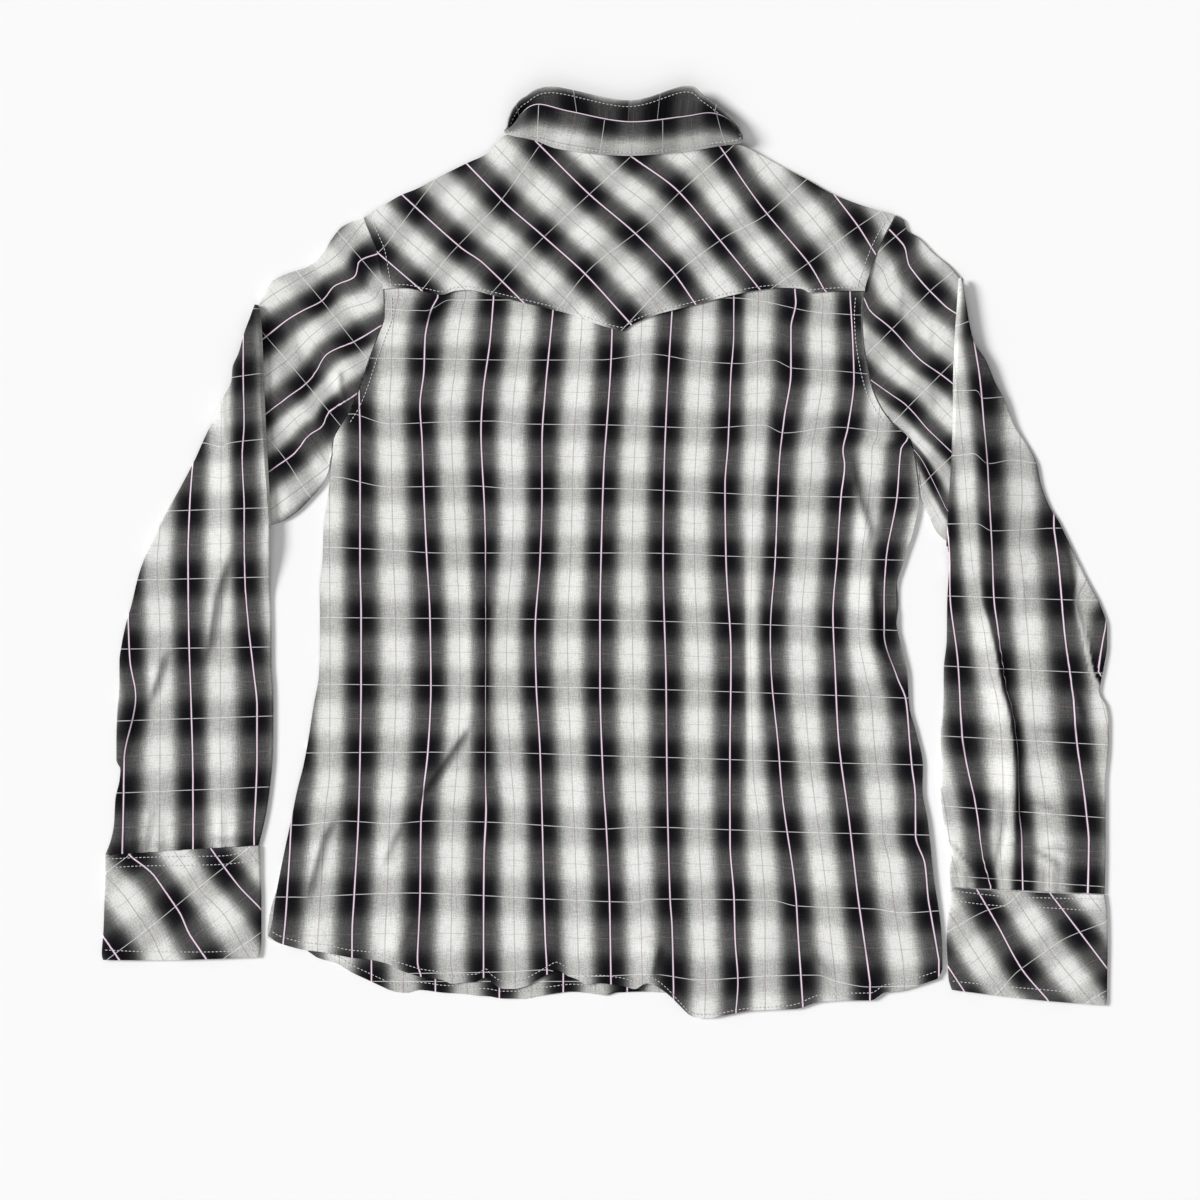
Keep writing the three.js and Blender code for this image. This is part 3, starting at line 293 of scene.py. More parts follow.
RIGHT_LOWER_WARP = [
    (0, [(930, 344), (940, 463), (949, 560), (950, 595), (958, 663), (962, 736), (977, 812), (983, 856),
         (991, 886)]),
    (0.5, [(952, 344), (963, 463), (971, 560), (979, 600), (984, 630), (988, 663), (997, 701),
           (1002, 751), (1003, 803), (1000, 845), (1003, 886)]),
    (0.88, [(964, 344, 0.8), (970, 382, 0.8), (974, 426, 0.8), (977, 463, 0.8), (979, 522, 0.78),
            (980, 559, 0.76), (982, 600, 0.72), (987, 622, 0.64), (991, 640, 0.58), (1001, 690, 0.64),
            (1008, 712, 0.68), (1011.5, 735, 0.7), (1014, 765, 0.7), (1014, 842, 0.72), (1016, 889, 0.85)]),
    (0.95, [(969, 344, 0.92), (975, 382, 0.92), (979, 426, 0.92), (982, 463, 0.92), (985.5, 522, 0.92),
            (987, 559, 0.92), (988, 600, 0.9), (992.5, 622, 0.93), (996.5, 640, 0.96), (1006.5, 690, 1.04),
            (1013.5, 712, 1.1), (1017, 735, 1.12), (1019.5, 765, 1.12), (1018.5, 842, 0.94),
            (1019, 889, 0.93)]),
    (1, [(973, 344), (979, 382), (983, 426), (986, 463), (989.5, 522), (991.5, 559), (994, 600),
         (997, 622, 1), (1001, 640, 1.03), (1011, 690, 1.12), (1018, 712, 1.2), (1022, 735, 1.22),
         (1024.5, 765, 1.22), (1022, 842, 1), (1023, 889, 1)]),
    (1.5, [(1020, 442), (1022, 499), (1019, 547), (1021, 560), (1027, 627), (1031, 677), (1035, 736),
           (1044, 795), (1049, 853)]),
    (2, [(1054, 528), (1058, 559), (1065, 636), (1072, 686), (1077, 742), (1085, 801), (1089, 842),
         (1088, 894)]),
    (2.3, [(1076, 528, 2.35), (1077, 560, 2.31), (1073, 600, 2.18), (1083, 640, 2.28), (1091, 672, 2.33),
           (1097, 690, 2.39), (1104, 720, 2.46), (1112, 760, 2.52), (1120, 842, 2.5), (1120, 894, 2.5)]),
    (2.6, [(1081, 528, 2.43), (1082, 560, 2.39), (1078, 600, 2.52), (1088, 640, 2.75), (1095.5, 672, 2.97),
           (1101, 690, 2.6), (1109, 720, 2.54), (1117, 760, 2.6), (1125, 842, 2.58), (1125, 894, 2.58)]),
    (3, [(1087, 528, 2.53), (1090, 560, 2.52), (1100, 600, 2.72), (1106, 622, 3), (1103, 640, 3),
         (1100, 660, 3), (1099, 672, 3.0), (1104, 690, 2.75), (1112, 720, 2.62), (1124, 760, 2.7),
         (1132, 842, 2.7), (1132, 894, 2.7)]),
]
RIGHT_LOWER_WEFT = [
    (0, [(958, 326), (968, 322)]),
    (1, [(955, 391), (976, 391), (981, 399), (1005, 397)]),
    (2, [(955, 456), (972, 454), (987, 464), (1012, 460), (1035, 463)]),
    (3, [(951, 524), (976, 524), (991, 531), (1053, 528)]),
    (4, [(947, 596), (1074, 600)]),
    (5, [(944, 666), (1094, 673)]),
    (6, [(943, 736), (1109, 745)]),
    (7, [(943, 806), (1106, 818)]),
]
LEFT_CUFF_WARP = [
    (0, [(103, 937), (119, 960)]),
    (0.5, [(105, 875), (128, 901), (149, 931), (163, 960)]),
    (1, [(130, 856), (156, 878), (178, 910), (191, 937), (206, 959)]),
    (1.5, [(178, 857), (198, 887), (225, 916), (245, 951)]),
    (2, [(216, 856), (237, 884), (259, 907)]),
]
LEFT_CUFF_WEFT = [
    (0, [(105, 873), (128, 856)]),
    (1, [(108, 959), (149, 928), (198, 888), (237, 857)]),
    (2, [(223, 959), (259, 934)]),
]
RIGHT_CUFF_WARP = [
    (0.5, [(947, 909), (977, 956), (1000, 991)]),
    (1, [(978, 891), (997, 924), (1021, 968), (1047, 999)]),
    (1.5, [(1024, 912), (1050, 950), (1091, 1001)]),
    (2, [(1050, 893), (1079, 931), (1107, 968)]),
]
RIGHT_CUFF_WEFT = [
    (0, [(950, 930), (983, 912), (1009, 903), (1021, 891)]),
    (1, [(997, 994), (1021, 969), (1056, 944), (1106, 922)]),
]

# Creases: a line on the chart, how far it reaches to its left and right, and its height in mm.
# Left is the left hand of someone who walks the line. A short reach makes that side steep.
BACK_CREASES = [
    ([(478, 714), (456, 744), (430, 781), (408, 809)], 4.5, 16, 2.8),
    ([(410, 812), (396, 834), (380, 870)], 7, 16, 1.6),
    ([(339, 809), (324, 835), (310, 885), (304, 914)], 5, 16, 2.4),
    ([(542, 374), (531, 396)], 4, 12, 1.4),
    ([(451, 297), (430, 313), (418, 325)], 4.5, 14, 2.0),
    ([(486.5, 500), (487, 600), (487, 700), (486.5, 815)], 3.5, 3.5, -0.7),
    ([(476, 520), (474, 620), (476, 800)], 18, 8, 0.9),
    ([(747, 480), (746, 560), (746.5, 660), (748, 790)], 3.5, 3.5, -0.7),
    ([(757, 500), (757, 620), (760, 800)], 8, 20, 0.9),
    ([(849, 451), (858, 497), (869, 529), (867, 560)], 6, 14, 2.6),
    ([(870, 560), (873, 600), (877, 645), (884, 658), (897, 686)], 4.5, 16, 2.8),
    ([(890, 728), (903, 734)], 5, 5, 1.0),
    ([(893, 605), (891, 632)], 4.5, 4.5, 1.0),
    ([(660, 940), (655, 961), (651, 984)], 3.5, 16, 2.6),
    ([(555, 880), (555, 930), (555, 968)], 18, 18, 1.6),
    ([(420, 900), (408, 930), (396, 962)], 14, 14, 1.2),
    ([(380, 946), (410, 950), (440, 956)], 6, 6, 0.6),
    ([(807, 944), (820, 965), (830, 979)], 10, 16, 1.2),
    ([(857, 937), (872, 960), (885, 986)], 12, 12, 1.2),
    ([(750, 800), (756, 880), (762, 990)], 26, 26, 1.4),
    ([(817, 760), (826, 850), (832, 930)], 24, 24, 1.3),
    ([(322, 655), (326, 680)], 5, 8, 0.6),
    ([(527, 395), (531, 500), (532, 600)], 34, 34, 1.0),
    ([(690, 410), (692, 520), (694, 640)], 34, 34, 1.1),
    ([(435, 420), (436, 520), (438, 600)], 30, 30, 1.0),
    ([(797, 430), (795, 540), (790, 640)], 28, 28, 1.0),
    ([(620, 700), (640, 790), (636, 880)], 40, 40, -0.8),
    ([(590, 400), (660, 470), (700, 560)], 30, 30, -0.7),
]
YOKE_CREASES = [
    ([(440, 200), (500, 230), (560, 262)], 26, 26, 0.8),
    ([(700, 190), (760, 220), (800, 262)], 28, 28, 0.8),
    ([(600, 200), (640, 240), (670, 280)], 34, 34, -0.7),
    ([(410, 250), (450, 262), (500, 286)], 18, 18, 0.6),
]
LEFT_SLEEVE_CREASES = [
    ([(235, 540), (216, 596), (209, 643), (198, 675)], 5, 14, 2.6),
    ([(166, 646), (159, 673), (147, 708)], 4.5, 12, 2.2),
    ([(228, 376), (227, 410), (229, 447)], 12, 3, 1.5),
    ([(342, 366), (344, 386), (350, 406)], 14, 8, 2.2),
    ([(224, 700), (224, 760), (222, 820)], 22, 22, 1.0),
    ([(137, 690), (130, 730), (121, 769)], 3, 12, 1.2),
    ([(153, 800), (148, 830), (146, 852)], 6, 7, 1.3),
    ([(200, 832), (222, 838), (245, 836), (258, 828)], 6, 5, 1.2),
    ([(120, 846), (140, 843), (168, 849)], 4, 4, 1.0),
    ([(330, 250), (340, 300), (350, 340)], 22, 22, -0.8),
    ([(285, 300), (300, 360), (310, 420)], 20, 20, -0.7),
    ([(300, 430), (318, 450), (326, 470)], 10, 10, 0.8),
]
RIGHT_SLEEVE_CREASES = [
    ([(984, 596), (986, 604), (993, 640), (999, 655), (1003, 690), (1010, 712), (1013.5, 735),
      (1016, 765), (1016, 795), (1016, 842), (1020, 885)], 3, 15, 3.2),
    ([(979, 423), (981, 455), (983, 490)], 10, 10, 1.4),
    ([(1027, 572), (1027, 619)], 9, 6, 0.9),
    ([(952, 789), (978, 797), (1003, 798)], 5, 5, 1.1),
    ([(1018, 803), (1040, 806), (1062, 815)], 5, 5, 1.2),
    ([(1020, 727), (1050, 733), (1090, 731)], 5, 5, 0.9),
    ([(948, 727), (970, 731), (1000, 733)], 5, 5, 0.8),
    ([(1073, 686), (1078, 705), (1084, 728)], 3, 10, 2.0),
    ([(955, 735), (962, 752), (975, 765)], 5, 5, 1.1),
    ([(946, 836), (962, 852), (985, 880)], 8, 4, 2.3),
    ([(1000, 780), (1003, 824), (991, 889)], 3, 4, -1.9),
    ([(1025, 848), (1045, 858), (1062, 870)], 4, 5, 1.9),
    ([(1040, 850), (1056, 848), (1072, 856)], 4, 4, 1.2),
    ([(955, 878), (978, 876), (1000, 882)], 4, 4, 1.0),
    ([(1004, 560), (1000, 640), (1003, 700)], 14, 14, 0.6),
    ([(1070, 730), (1076, 790), (1078, 820)], 22, 22, 0.9),
    ([(905, 260), (900, 330), (900, 390)], 20, 20, -0.8),
    ([(930, 300), (930, 380), (934, 440)], 16, 16, 0.7),
    ([(1053, 516), (1068, 560), (1074, 600), (1085, 640), (1094, 672), (1099, 692)], 2.5, 12, 1.4),
]


def ease(t):
    c = np.clip(t, 0, 1)
    return c * c * (3 - 2 * c)


def mix(a, b, t):
    return a + (b - a) * t


def smooth(at, places, values):
    """Values along a table, on a curve that never overshoots it and stays level past its ends."""
    places = np.asarray(places, float)
    values = np.asarray(values, float)
    gap = np.diff(places)
    slope = np.diff(values) / gap
    tangent = np.zeros(len(places))
    tangent[0] = slope[0]
    tangent[-1] = slope[-1]
    product = slope[:-1] * slope[1:]
    total = np.where(product > 0, slope[:-1] + slope[1:], 1)
    tangent[1:-1] = np.where(product > 0, 2 * product / total, 0)
    at = np.clip(at, places[0], places[-1])
    i = np.clip(np.searchsorted(places, at, side="right") - 1, 0, len(gap) - 1)
    t = (at - places[i]) / gap[i]
    start = (2 * t**3 - 3 * t**2 + 1) * values[i] + (t**3 - 2 * t**2 + t) * gap[i] * tangent[i]
    end = (3 * t**2 - 2 * t**3) * values[i + 1] + (t**3 - t**2) * gap[i] * tangent[i + 1]
    return start + end


def table(rows, at, column=1):
    return smooth(at, [row[0] for row in rows], [row[column] for row in rows])


def along(points, share):
    """Places along a drawn line, from 0 at its start to 1 at its end."""
    points = np.array(points, float)
    run = np.concatenate([[0], np.cumsum(np.hypot(*np.diff(points, axis=0).T))])
    return smooth(share, run / run[-1], points[:, 0]), smooth(share, run / run[-1], points[:, 1])


def left_side(down):
    return table(BODY_ROWS, down, 1)


def right_side(down):
    return table(BODY_ROWS, down, 2)


def to_frame(across, down, height):
    """Chart places and heights in millimetres as points of the frame, in metres."""
    x = (across - CHART_MIDDLE[0]) * CHART_STEP + FRAME_SHIFT[0]
    y = (CHART_MIDDLE[1] - down) * CHART_STEP + FRAME_SHIFT[1]
    return np.stack(np.broadcast_arrays(x, y, height * MM), axis=-1)


def chart_mm(across, down):
    """Chart places as the millimetres of the part's own tables."""
    return (across - CHART_MIDDLE[0]) * CHART_MM, (CHART_MIDDLE[1] - down) * CHART_MM


def nearest_on_line(line, across, down):
    """How far each place is from a drawn line, on which side, and how far along."""
    points = np.array(line, float)
    steps = np.diff(points, axis=0)
    lengths = np.hypot(steps[:, 0], steps[:, 1])
    starts = np.concatenate([[0], np.cumsum(lengths)])
    best = np.full(np.shape(across), 1e9)
    side = np.zeros(best.shape)
    share = np.zeros(best.shape)
    for i, length in enumerate(lengths):
        away_x = across - points[i, 0]
        away_y = down - points[i, 1]
        t = np.clip((away_x * steps[i, 0] + away_y * steps[i, 1]) / length**2, 0, 1)
        away = np.hypot(away_x - t * steps[i, 0], away_y - t * steps[i, 1])
        nearer = away < best
        best = np.where(nearer, away, best)
        side = np.where(nearer, away_x * steps[i, 1] - away_y * steps[i, 0], side)
        share = np.where(nearer, (starts[i] + t * length) / starts[-1], share)
    return best, side, ease(share / 0.3) * ease((1 - share) / 0.3)


def crease_height(creases, across, down):
    """Height that a list of creases adds, in millimetres."""
    height = np.zeros(np.shape(across))
    for line, left, right, rise in creases:
        best, side, taper = nearest_on_line(line, across, down)
        reach = np.where(side > 0, left, right)
        height += CREASE_DEPTH * rise * taper * np.exp(-((best / reach) ** 2))
    return height


def painted_crease_shade(creases, across, down):
    """Painted shade along each tight crease's steep side, from 0 to 1, darkening the cloth where the fold's
    own shadow falls.
    """
    shade = np.zeros(np.shape(across))
    for line, left, right, rise in creases:
        if -0.69 < rise < 0.7 or max(left, right) > 20:
            continue
        best, side, taper = nearest_on_line(line, across, down)
        steep = 1 if left <= right else -1
        signed = np.where(side * steep > 0, best, -best)
        depth = min(1.0, abs(rise) / 2.2)
        place = 1.6 if rise > 0 else 0.0
        shade = np.maximum(shade, depth * taper * np.exp(-(((signed - place) / 3.0) ** 2)))
    return shade


def ripple(across, down, seed, height, shortest=70, longest=220):
    """Soft unevenness of cloth that lies loose: a few broad waves in all directions."""
    source = np.random.default_rng(seed)
    total = np.zeros(np.shape(across))
    for _ in range(9):
        angle = source.uniform(0, math.pi)
        wave = source.uniform(shortest, longest)
        start = source.uniform(0, 2 * math.pi)
        run = (across * math.cos(angle) + down * math.sin(angle)) / wave
        total += np.sin(2 * math.pi * run + start + 0.8 * np.sin(run * 2.3 + start))
    return height * total / 3


def plaid_number(lines, lean, across, down, pitch=62.0):
    """Number of the plaid at each place, from lines that run at about lean degrees."""
    c = math.cos(math.radians(lean))
    s = math.sin(math.radians(lean))
    run = across * c + down * s
    aside = down * c - across * s
    entries = []
    for number, points in lines:
        line = sorted(
            (p[0] * c + p[1] * s, p[1] * c - p[0] * s, p[2] if len(p) > 2 else number)
            for p in points
        )
        runs = [p[0] for p in line]
        place = smooth(run, runs, [p[1] for p in line])
        value = smooth(run, runs, [p[2] for p in line])
        entries.append((np.mean([p[1] for p in line]), place, value))
    entries.sort(key=lambda entry: entry[0])
    places = np.maximum.accumulate(np.array([entry[1] for entry in entries]), axis=0)
    values = np.array([entry[2] for entry in entries])
    rising = 1 if values[-1].mean() > values[0].mean() else -1
    low = np.clip((places <= aside).sum(axis=0) - 1, 0, len(entries) - 2)
    index = np.indices(low.shape)
    here = places[(low, *index)]
    there = places[(low + 1, *index)]
    first = values[(low, *index)]
    last = values[(low + 1, *index)]
    t = (aside - here) / np.maximum(there - here, 1e-6)
    between = mix(first, last, np.clip(t, 0, 1))
    before = first + rising * (aside - here) / pitch
    after = last + rising * (aside - there) / pitch
    return np.where(aside < here, before, np.where(aside > there, after, between))


def coons(bottom, top, left, right):
    """A grid of places between four edges, each a pair of arrays; rows run from bottom to top."""
    u = np.linspace(0, 1, len(bottom[0]))[None, :]
    v = np.linspace(0, 1, len(left[0]))[:, None]
    grid = []
    for k in range(2):
        straight = (1 - v) * bottom[k][None, :] + v * top[k][None, :]
        sideways = (1 - u) * left[k][:, None] + u * right[k][:, None]
        corners = (1 - u) * (1 - v) * bottom[k][0] + u * (1 - v) * bottom[k][-1]
        corners = corners + (1 - u) * v * top[k][0] + u * v * top[k][-1]
        grid.append(straight + sideways - corners)
    return grid


def side_edge(edge, bottom, top, rows):
    """A side of a panel that follows the body's edge and meets both corners."""
    v = np.linspace(0, 1, rows)
    down = mix(bottom[1], top[1], v)
    slip = mix(bottom[0] - edge(bottom[1]), top[0] - edge(top[1]), v)
    return edge(down) + slip, down


def panel_grid(hem, hem_ends, top, top_ends, left, right, columns, rows):
    """Places of a panel from its hem and top tables and its two side functions."""
    bottom_x = np.linspace(*hem_ends, columns)
    top_x = np.linspace(*top_ends, columns)
    bottom = (bottom_x, hem(bottom_x))
    upper = (top_x, top(top_x))
    left_edge = side_edge(left, (bottom[0][0], bottom[1][0]), (upper[0][0], upper[1][0]), rows)
    right_edge = side_edge(right, (bottom[0][-1], bottom[1][-1]), (upper[0][-1], upper[1][-1]), rows)
    return coons(bottom, upper, left_edge, right_edge)


def band_rise(across, down):
    x, y = chart_mm(across, down)
    return LAYER * (1 - ease((np.abs(x - 12) - 19) / 24)) * (1 - ease((y - 246) / 30))


def back_top(across, down):
    """Height of the back's outer face, in millimetres."""
    from_seam = (down - table(YOKE_SEAM, across)) * CHART_MM
    near_hem = ease((table(BACK_HEM, across) - down) / 30)
    loose = ripple(across, down, 4, 0.45) * mix(0.35, 1, near_hem)
    relief = (crease_height(BACK_CREASES, across, down) + loose) * ease((from_seam - 2) / 20)
    return LAYER + WALL + 0.25 + band_rise(across, down) + np.maximum(relief, -0.9)


def yoke_top(across, down):
    x, y = chart_mm(across, down)
    from_seam = (table(YOKE_SEAM, across) - down) * CHART_MM
    over_back = LAYER * (1 - ease((from_seam - 9) / 26))
    aside = np.maximum(0, np.abs(x - 13) - 84)
    neck = 4 * (1 - ease(np.hypot(aside, np.maximum(0, 318 - y)) / 42))
    loose = ripple(across, down, 9, 0.35) * ease((from_seam - 2) / 20)
    relief = (crease_height(YOKE_CREASES, across, down) + loose) * ease((from_seam - 2) / 20)
    return LAYER + WALL + 0.25 + band_rise(across, down) + over_back + neck + np.maximum(relief, -0.9)


def clear_selection():
    if bpy.context.object and bpy.context.object.mode != "OBJECT":
        bpy.ops.object.mode_set(mode="OBJECT")
    bpy.ops.object.select_all(action="DESELECT")


def cloth_sheet(name, points, fabric, thickness, around=False, offset=-1.0, shade=None):
    """A sheet of cloth on a grid of points, given its fabric numbers and then its thickness.

    points is rows by columns by 3 in metres, and the rows and columns turn so that the face
    looks out. With around set the first and last columns are the same line and are joined.
    """
    rows, columns = points.shape[:2]
    clear_selection()
    bpy.ops.mesh.primitive_grid_add(
        x_subdivisions=columns - 1, y_subdivisions=rows - 1, size=2, location=(0, 0, 0), calc_uvs=True
    )
    piece = bpy.context.object
    piece.name = name
    mesh = piece.data
    mesh.name = name
    start = np.empty(len(mesh.vertices) * 3)
    mesh.vertices.foreach_get("co", start)
    start = start.reshape(-1, 3)
    column = np.rint((start[:, 0] + 1) / 2 * (columns - 1)).astype(int)
    row = np.rint((start[:, 1] + 1) / 2 * (rows - 1)).astype(int)
    mesh.vertices.foreach_set("co", points[row, column].ravel())
    loops = np.empty(len(mesh.loops), int)
    mesh.loops.foreach_get("vertex_index", loops)
    numbers = np.stack([fabric[0][row, column], fabric[1][row, column]], axis=-1)
    layer = mesh.uv_layers[0]
    layer.name = "fabric"
    layer.data.foreach_set("uv", numbers[loops].ravel())
    # shade is painted crease shade, from 0 to 1, carried to the material in its own UV map
    if shade is None:
        shade = np.zeros(points.shape[:2])
    folds = np.stack([shade[row, column], np.zeros(len(row))], axis=-1)
    painted_shade_layer = mesh.uv_layers.new(name="folds")
    painted_shade_layer.data.foreach_set("uv", folds[loops].ravel())
    mesh.update()
    if around:
        bpy.ops.object.mode_set(mode="EDIT")
        bpy.ops.mesh.select_all(action="SELECT")
        bpy.ops.mesh.remove_doubles(threshold=0.000002)
        bpy.ops.object.mode_set(mode="OBJECT")
    bpy.ops.object.modifier_add(type="SOLIDIFY")
    wall = piece.modifiers[-1]
    wall.thickness = thickness * MM
    wall.offset = offset
    wall.use_even_offset = False
    bpy.ops.object.modifier_apply(modifier=wall.name)
    for vertex in mesh.vertices:
        vertex.co.z = max(vertex.co.z, 0.0)
    bpy.ops.object.shade_smooth_by_angle(angle=math.radians(60))
    return piece


def finish_cloth(piece, node, material):
    piece.data.materials.clear()
    piece.data.materials.append(material)
    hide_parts(node)
    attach(piece, "root")


class Nodes:
    """Small helper that adds and links the nodes of one material."""

    def __init__(self, name):
        self.material = bpy.data.materials.get(name) or bpy.data.materials.new(name)
        self.material.use_nodes = True
        self.tree = self.material.node_tree
        self.tree.nodes.clear()
        self.place = 0

    def add(self, kind, **values):
        node = self.tree.nodes.new(kind)
        self.place += 1
        node.location = (180 * (self.place % 12), -220 * (self.place // 12))
        for key, value in values.items():
            setattr(node, key, value)
        return node

    def link(self, source, target):
        self.tree.links.new(source, target)

    def put(self, value, socket):
        """Sets a number or a colour on a socket, or links another node's output to it."""
        if isinstance(value, (int, float, tuple)):
            socket.default_value = value
        else:
            self.link(value, socket)

    def maths(self, operation, *values):
        node = self.add("ShaderNodeMath", operation=operation)
        for value, socket in zip(values, node.inputs):
            self.put(value, socket)
        return node.outputs[0]

    def blend(self, share, first, second):
        node = self.add("ShaderNodeMix", data_type="RGBA")
        self.put(share, node.inputs[0])
        self.put(first, node.inputs[6])
        self.put(second, node.inputs[7])
        return node.outputs[2]

    def object_place(self):
        return self.add("ShaderNodeTexCoord").outputs["Object"]

    def split_map(self, name):
        """The named UV map and its two numbers."""
        read = self.add("ShaderNodeUVMap", uv_map=name)
        split = self.add("ShaderNodeSeparateXYZ")
        self.link(read.outputs[0], split.inputs[0])
        return read.outputs[0], split.outputs[0], split.outputs[1]

    def noise(self, place, scale, detail=2, roughness=0.5, distortion=0, **values):
        node = self.add("ShaderNodeTexNoise", **values)
        self.link(place, node.inputs["Vector"])
        node.inputs["Scale"].default_value = scale
        node.inputs["Detail"].default_value = detail
        node.inputs["Roughness"].default_value = roughness
        node.inputs["Distortion"].default_value = distortion
        return node.outputs[0]

    def flat_noise(self, place, size, detail, roughness=0.5):
        """Noise on the fabric numbers, drawn out by size."""
        scaled = self.add("ShaderNodeVectorMath", operation="MULTIPLY")
        self.link(place, scaled.inputs[0])
        scaled.inputs[1].default_value = size
        return self.noise(scaled.outputs[0], 1, detail, roughness, noise_dimensions="2D")

    def finish(self, colour, roughness):
        """Ends the material in one shader, which is returned for the rest of its sockets."""
        shader = self.add("ShaderNodeBsdfPrincipled")
        self.link(colour, shader.inputs["Base Color"])
        self.put(roughness, shader.inputs["Roughness"])
        out = self.add("ShaderNodeOutputMaterial")
        self.link(shader.outputs[0], out.inputs[0])
        return shader


def linear(r, g, b):
    """An sRGB colour from 0 to 255 as linear values."""
    values = []
    for v in (r, g, b):
        v = v / 255
        values.append(v / 12.92 if v <= 0.04045 else ((v + 0.055) / 1.055) ** 2.4)
    return (*values, 1.0)


def stripe(nodes, number, half_width, soft):
    """1 in the middle of a line at each whole number, falling to 0 at its edge."""
    away = nodes.maths("PINGPONG", number, 0.5)
    share = nodes.add("ShaderNodeMapRange", interpolation_type="SMOOTHSTEP")
    nodes.link(away, share.inputs[0])
    share.inputs[1].default_value = half_width + soft
    share.inputs[2].default_value = half_width - soft
    return share.outputs[0]


def shaded_wave(nodes, number):
    """0 in the middle of a dark stripe and 1 in the middle of a light one."""
    turn = nodes.maths("MULTIPLY", number, 2 * math.pi)
    wave = nodes.maths("COSINE", turn)
    level = nodes.maths("MULTIPLY_ADD", wave, -0.5, 0.5)
    ramp = nodes.add("ShaderNodeFloatCurve")
    nodes.link(level, ramp.inputs["Value"])
    points = ramp.mapping.curves[0].points
    points[0].location = (0, 0)
    points[1].location = (1, 1)
    for place in ((0.22, 0.09), (0.5, 0.44), (0.8, 0.9)):
        points.new(*place)
    ramp.mapping.update()
    return ramp.outputs[0]


def plaid_cloth(name, settings):
    """Fine cotton in a shaded plaid, read from the piece's own fabric numbers."""
    nodes = Nodes(name)
    fabric, warp, weft = nodes.split_map("fabric")
    place = nodes.object_place()

    # Shade of the crossing stripes
    warp_wave = shaded_wave(nodes, warp)
    weft_wave = shaded_wave(nodes, weft)
    tone = nodes.maths("MULTIPLY", warp_wave, settings.warp_share)
    tone = nodes.maths("MULTIPLY_ADD", weft_wave, 1.0 - settings.warp_share, tone)
    both = nodes.maths("MULTIPLY", warp_wave, weft_wave)
    tone = nodes.maths("MULTIPLY_ADD", both, 0.01, tone)

    # Uneven yarns, flecks and worn places, weaker where the cloth is dark
    yarns = nodes.maths(
        "ADD", nodes.flat_noise(fabric, (70, 5, 1), 2), nodes.flat_noise(fabric, (5, 70, 1), 2)
    )
    grain = nodes.maths("MULTIPLY_ADD", yarns, settings.grain, -settings.grain)
    worn = nodes.maths("MULTIPLY_ADD", nodes.noise(place, 9, 3), 0.06, -0.03)
    grain = nodes.maths("ADD", grain, worn)
    fleck = nodes.maths("MULTIPLY_ADD", nodes.flat_noise(fabric, (48, 55, 1), 3, 0.8), 0.5, -0.25)
    grain = nodes.maths("ADD", grain, fleck)
    grip = nodes.maths("MINIMUM", nodes.maths("ADD", tone, 0.12), 0.7)
    uneven = nodes.maths("MULTIPLY", grain, grip)
    tone = nodes.maths("MULTIPLY_ADD", uneven, 1.6, tone)
    tone = nodes.maths("MAXIMUM", tone, 0)
    lift = nodes.maths("POWER", nodes.maths("MULTIPLY_ADD", tone, 0.80, 0.118), 2.25)
    share = nodes.maths("MAXIMUM", nodes.maths("MULTIPLY_ADD", lift, 1.22, -0.009), 0)
    cloth = nodes.blend(share, tuple(settings.dark), tuple(settings.light))

    # Thin lines: number, half width, softness, strength, colour
    half_warp = nodes.maths("ADD", warp, 0.5)
    half_weft = nodes.maths("ADD", weft, 0.5)
    for number, half_width, soft, strength, colour in (
        (weft, 0.0045, 0.0025, 0.62, settings.weft_line),
        (half_warp, 0.008, 0.005, 0.5, settings.faint_line),
        (half_weft, 0.007, 0.005, 0.25, settings.faint_line),
        (warp, 0.025, 0.006, 0.5, settings.line_border),
        (warp, 0.0098, 0.003, 1.0, settings.warp_line),
    ):
        line = nodes.maths("MULTIPLY", stripe(nodes, number, half_width, soft), strength)
        cloth = nodes.blend(line, cloth, tuple(colour))

    # Painted shade: the cloth is blended towards the dark colour along the creases' steep sides
    _, painted_shade, _ = nodes.split_map("folds")
    depth = nodes.maths("MULTIPLY", painted_shade, settings.painted_fold_shade)
    cloth = nodes.blend(depth, cloth, tuple(settings.dark))
    shader = nodes.finish(cloth, nodes.maths("MULTIPLY_ADD", grain, 0.6, settings.roughness))
    shader.inputs["Specular IOR Level"].default_value = 0.06
    shader.inputs["Sheen Weight"].default_value = 0.02
    shader.inputs["Sheen Roughness"].default_value = 0.5

    # Height in metres of the fine wrinkles and the yarns
    crumple = nodes.noise(place, 30, 4, 0.5, 0.6)
    relief = nodes.maths("MULTIPLY", crumple, settings.wrinkles)
    relief = nodes.maths("MULTIPLY_ADD", yarns, 0.00006, relief)
    bump = nodes.add("ShaderNodeBump")
    bump.inputs["Strength"].default_value = 1
    bump.inputs["Distance"].default_value = 1
    nodes.link(relief, bump.inputs["Height"])
    nodes.link(bump.outputs[0], shader.inputs["Normal"])
    return nodes.material


def sewing_thread(settings):
    nodes = Nodes("sewing_thread")
    twist = nodes.noise(nodes.object_place(), 900)
    shade = nodes.maths("MULTIPLY", twist, 0.35)
    colour = nodes.blend(shade, tuple(settings.thread), linear(120, 110, 122))
    nodes.finish(colour, 0.65)
    return nodes.material


def snap_finish(name, colour, second, metallic, roughness, scale):
    nodes = Nodes(name)
    cloud = nodes.noise(nodes.object_place(), scale, 3, 0.5, 1.2)
    mixed = nodes.blend(cloud, colour, second)
    shader = nodes.finish(mixed, nodes.maths("MULTIPLY_ADD", cloud, 0.15, roughness))
    shader.inputs["Metallic"].default_value = metallic
    return nodes.material


def colour_property(name, description, r, g, b):
    return bpy.props.FloatVectorProperty(
        name=name, description=description, default=linear(r, g, b), subtype="COLOR", size=4, min=0, max=1
    )


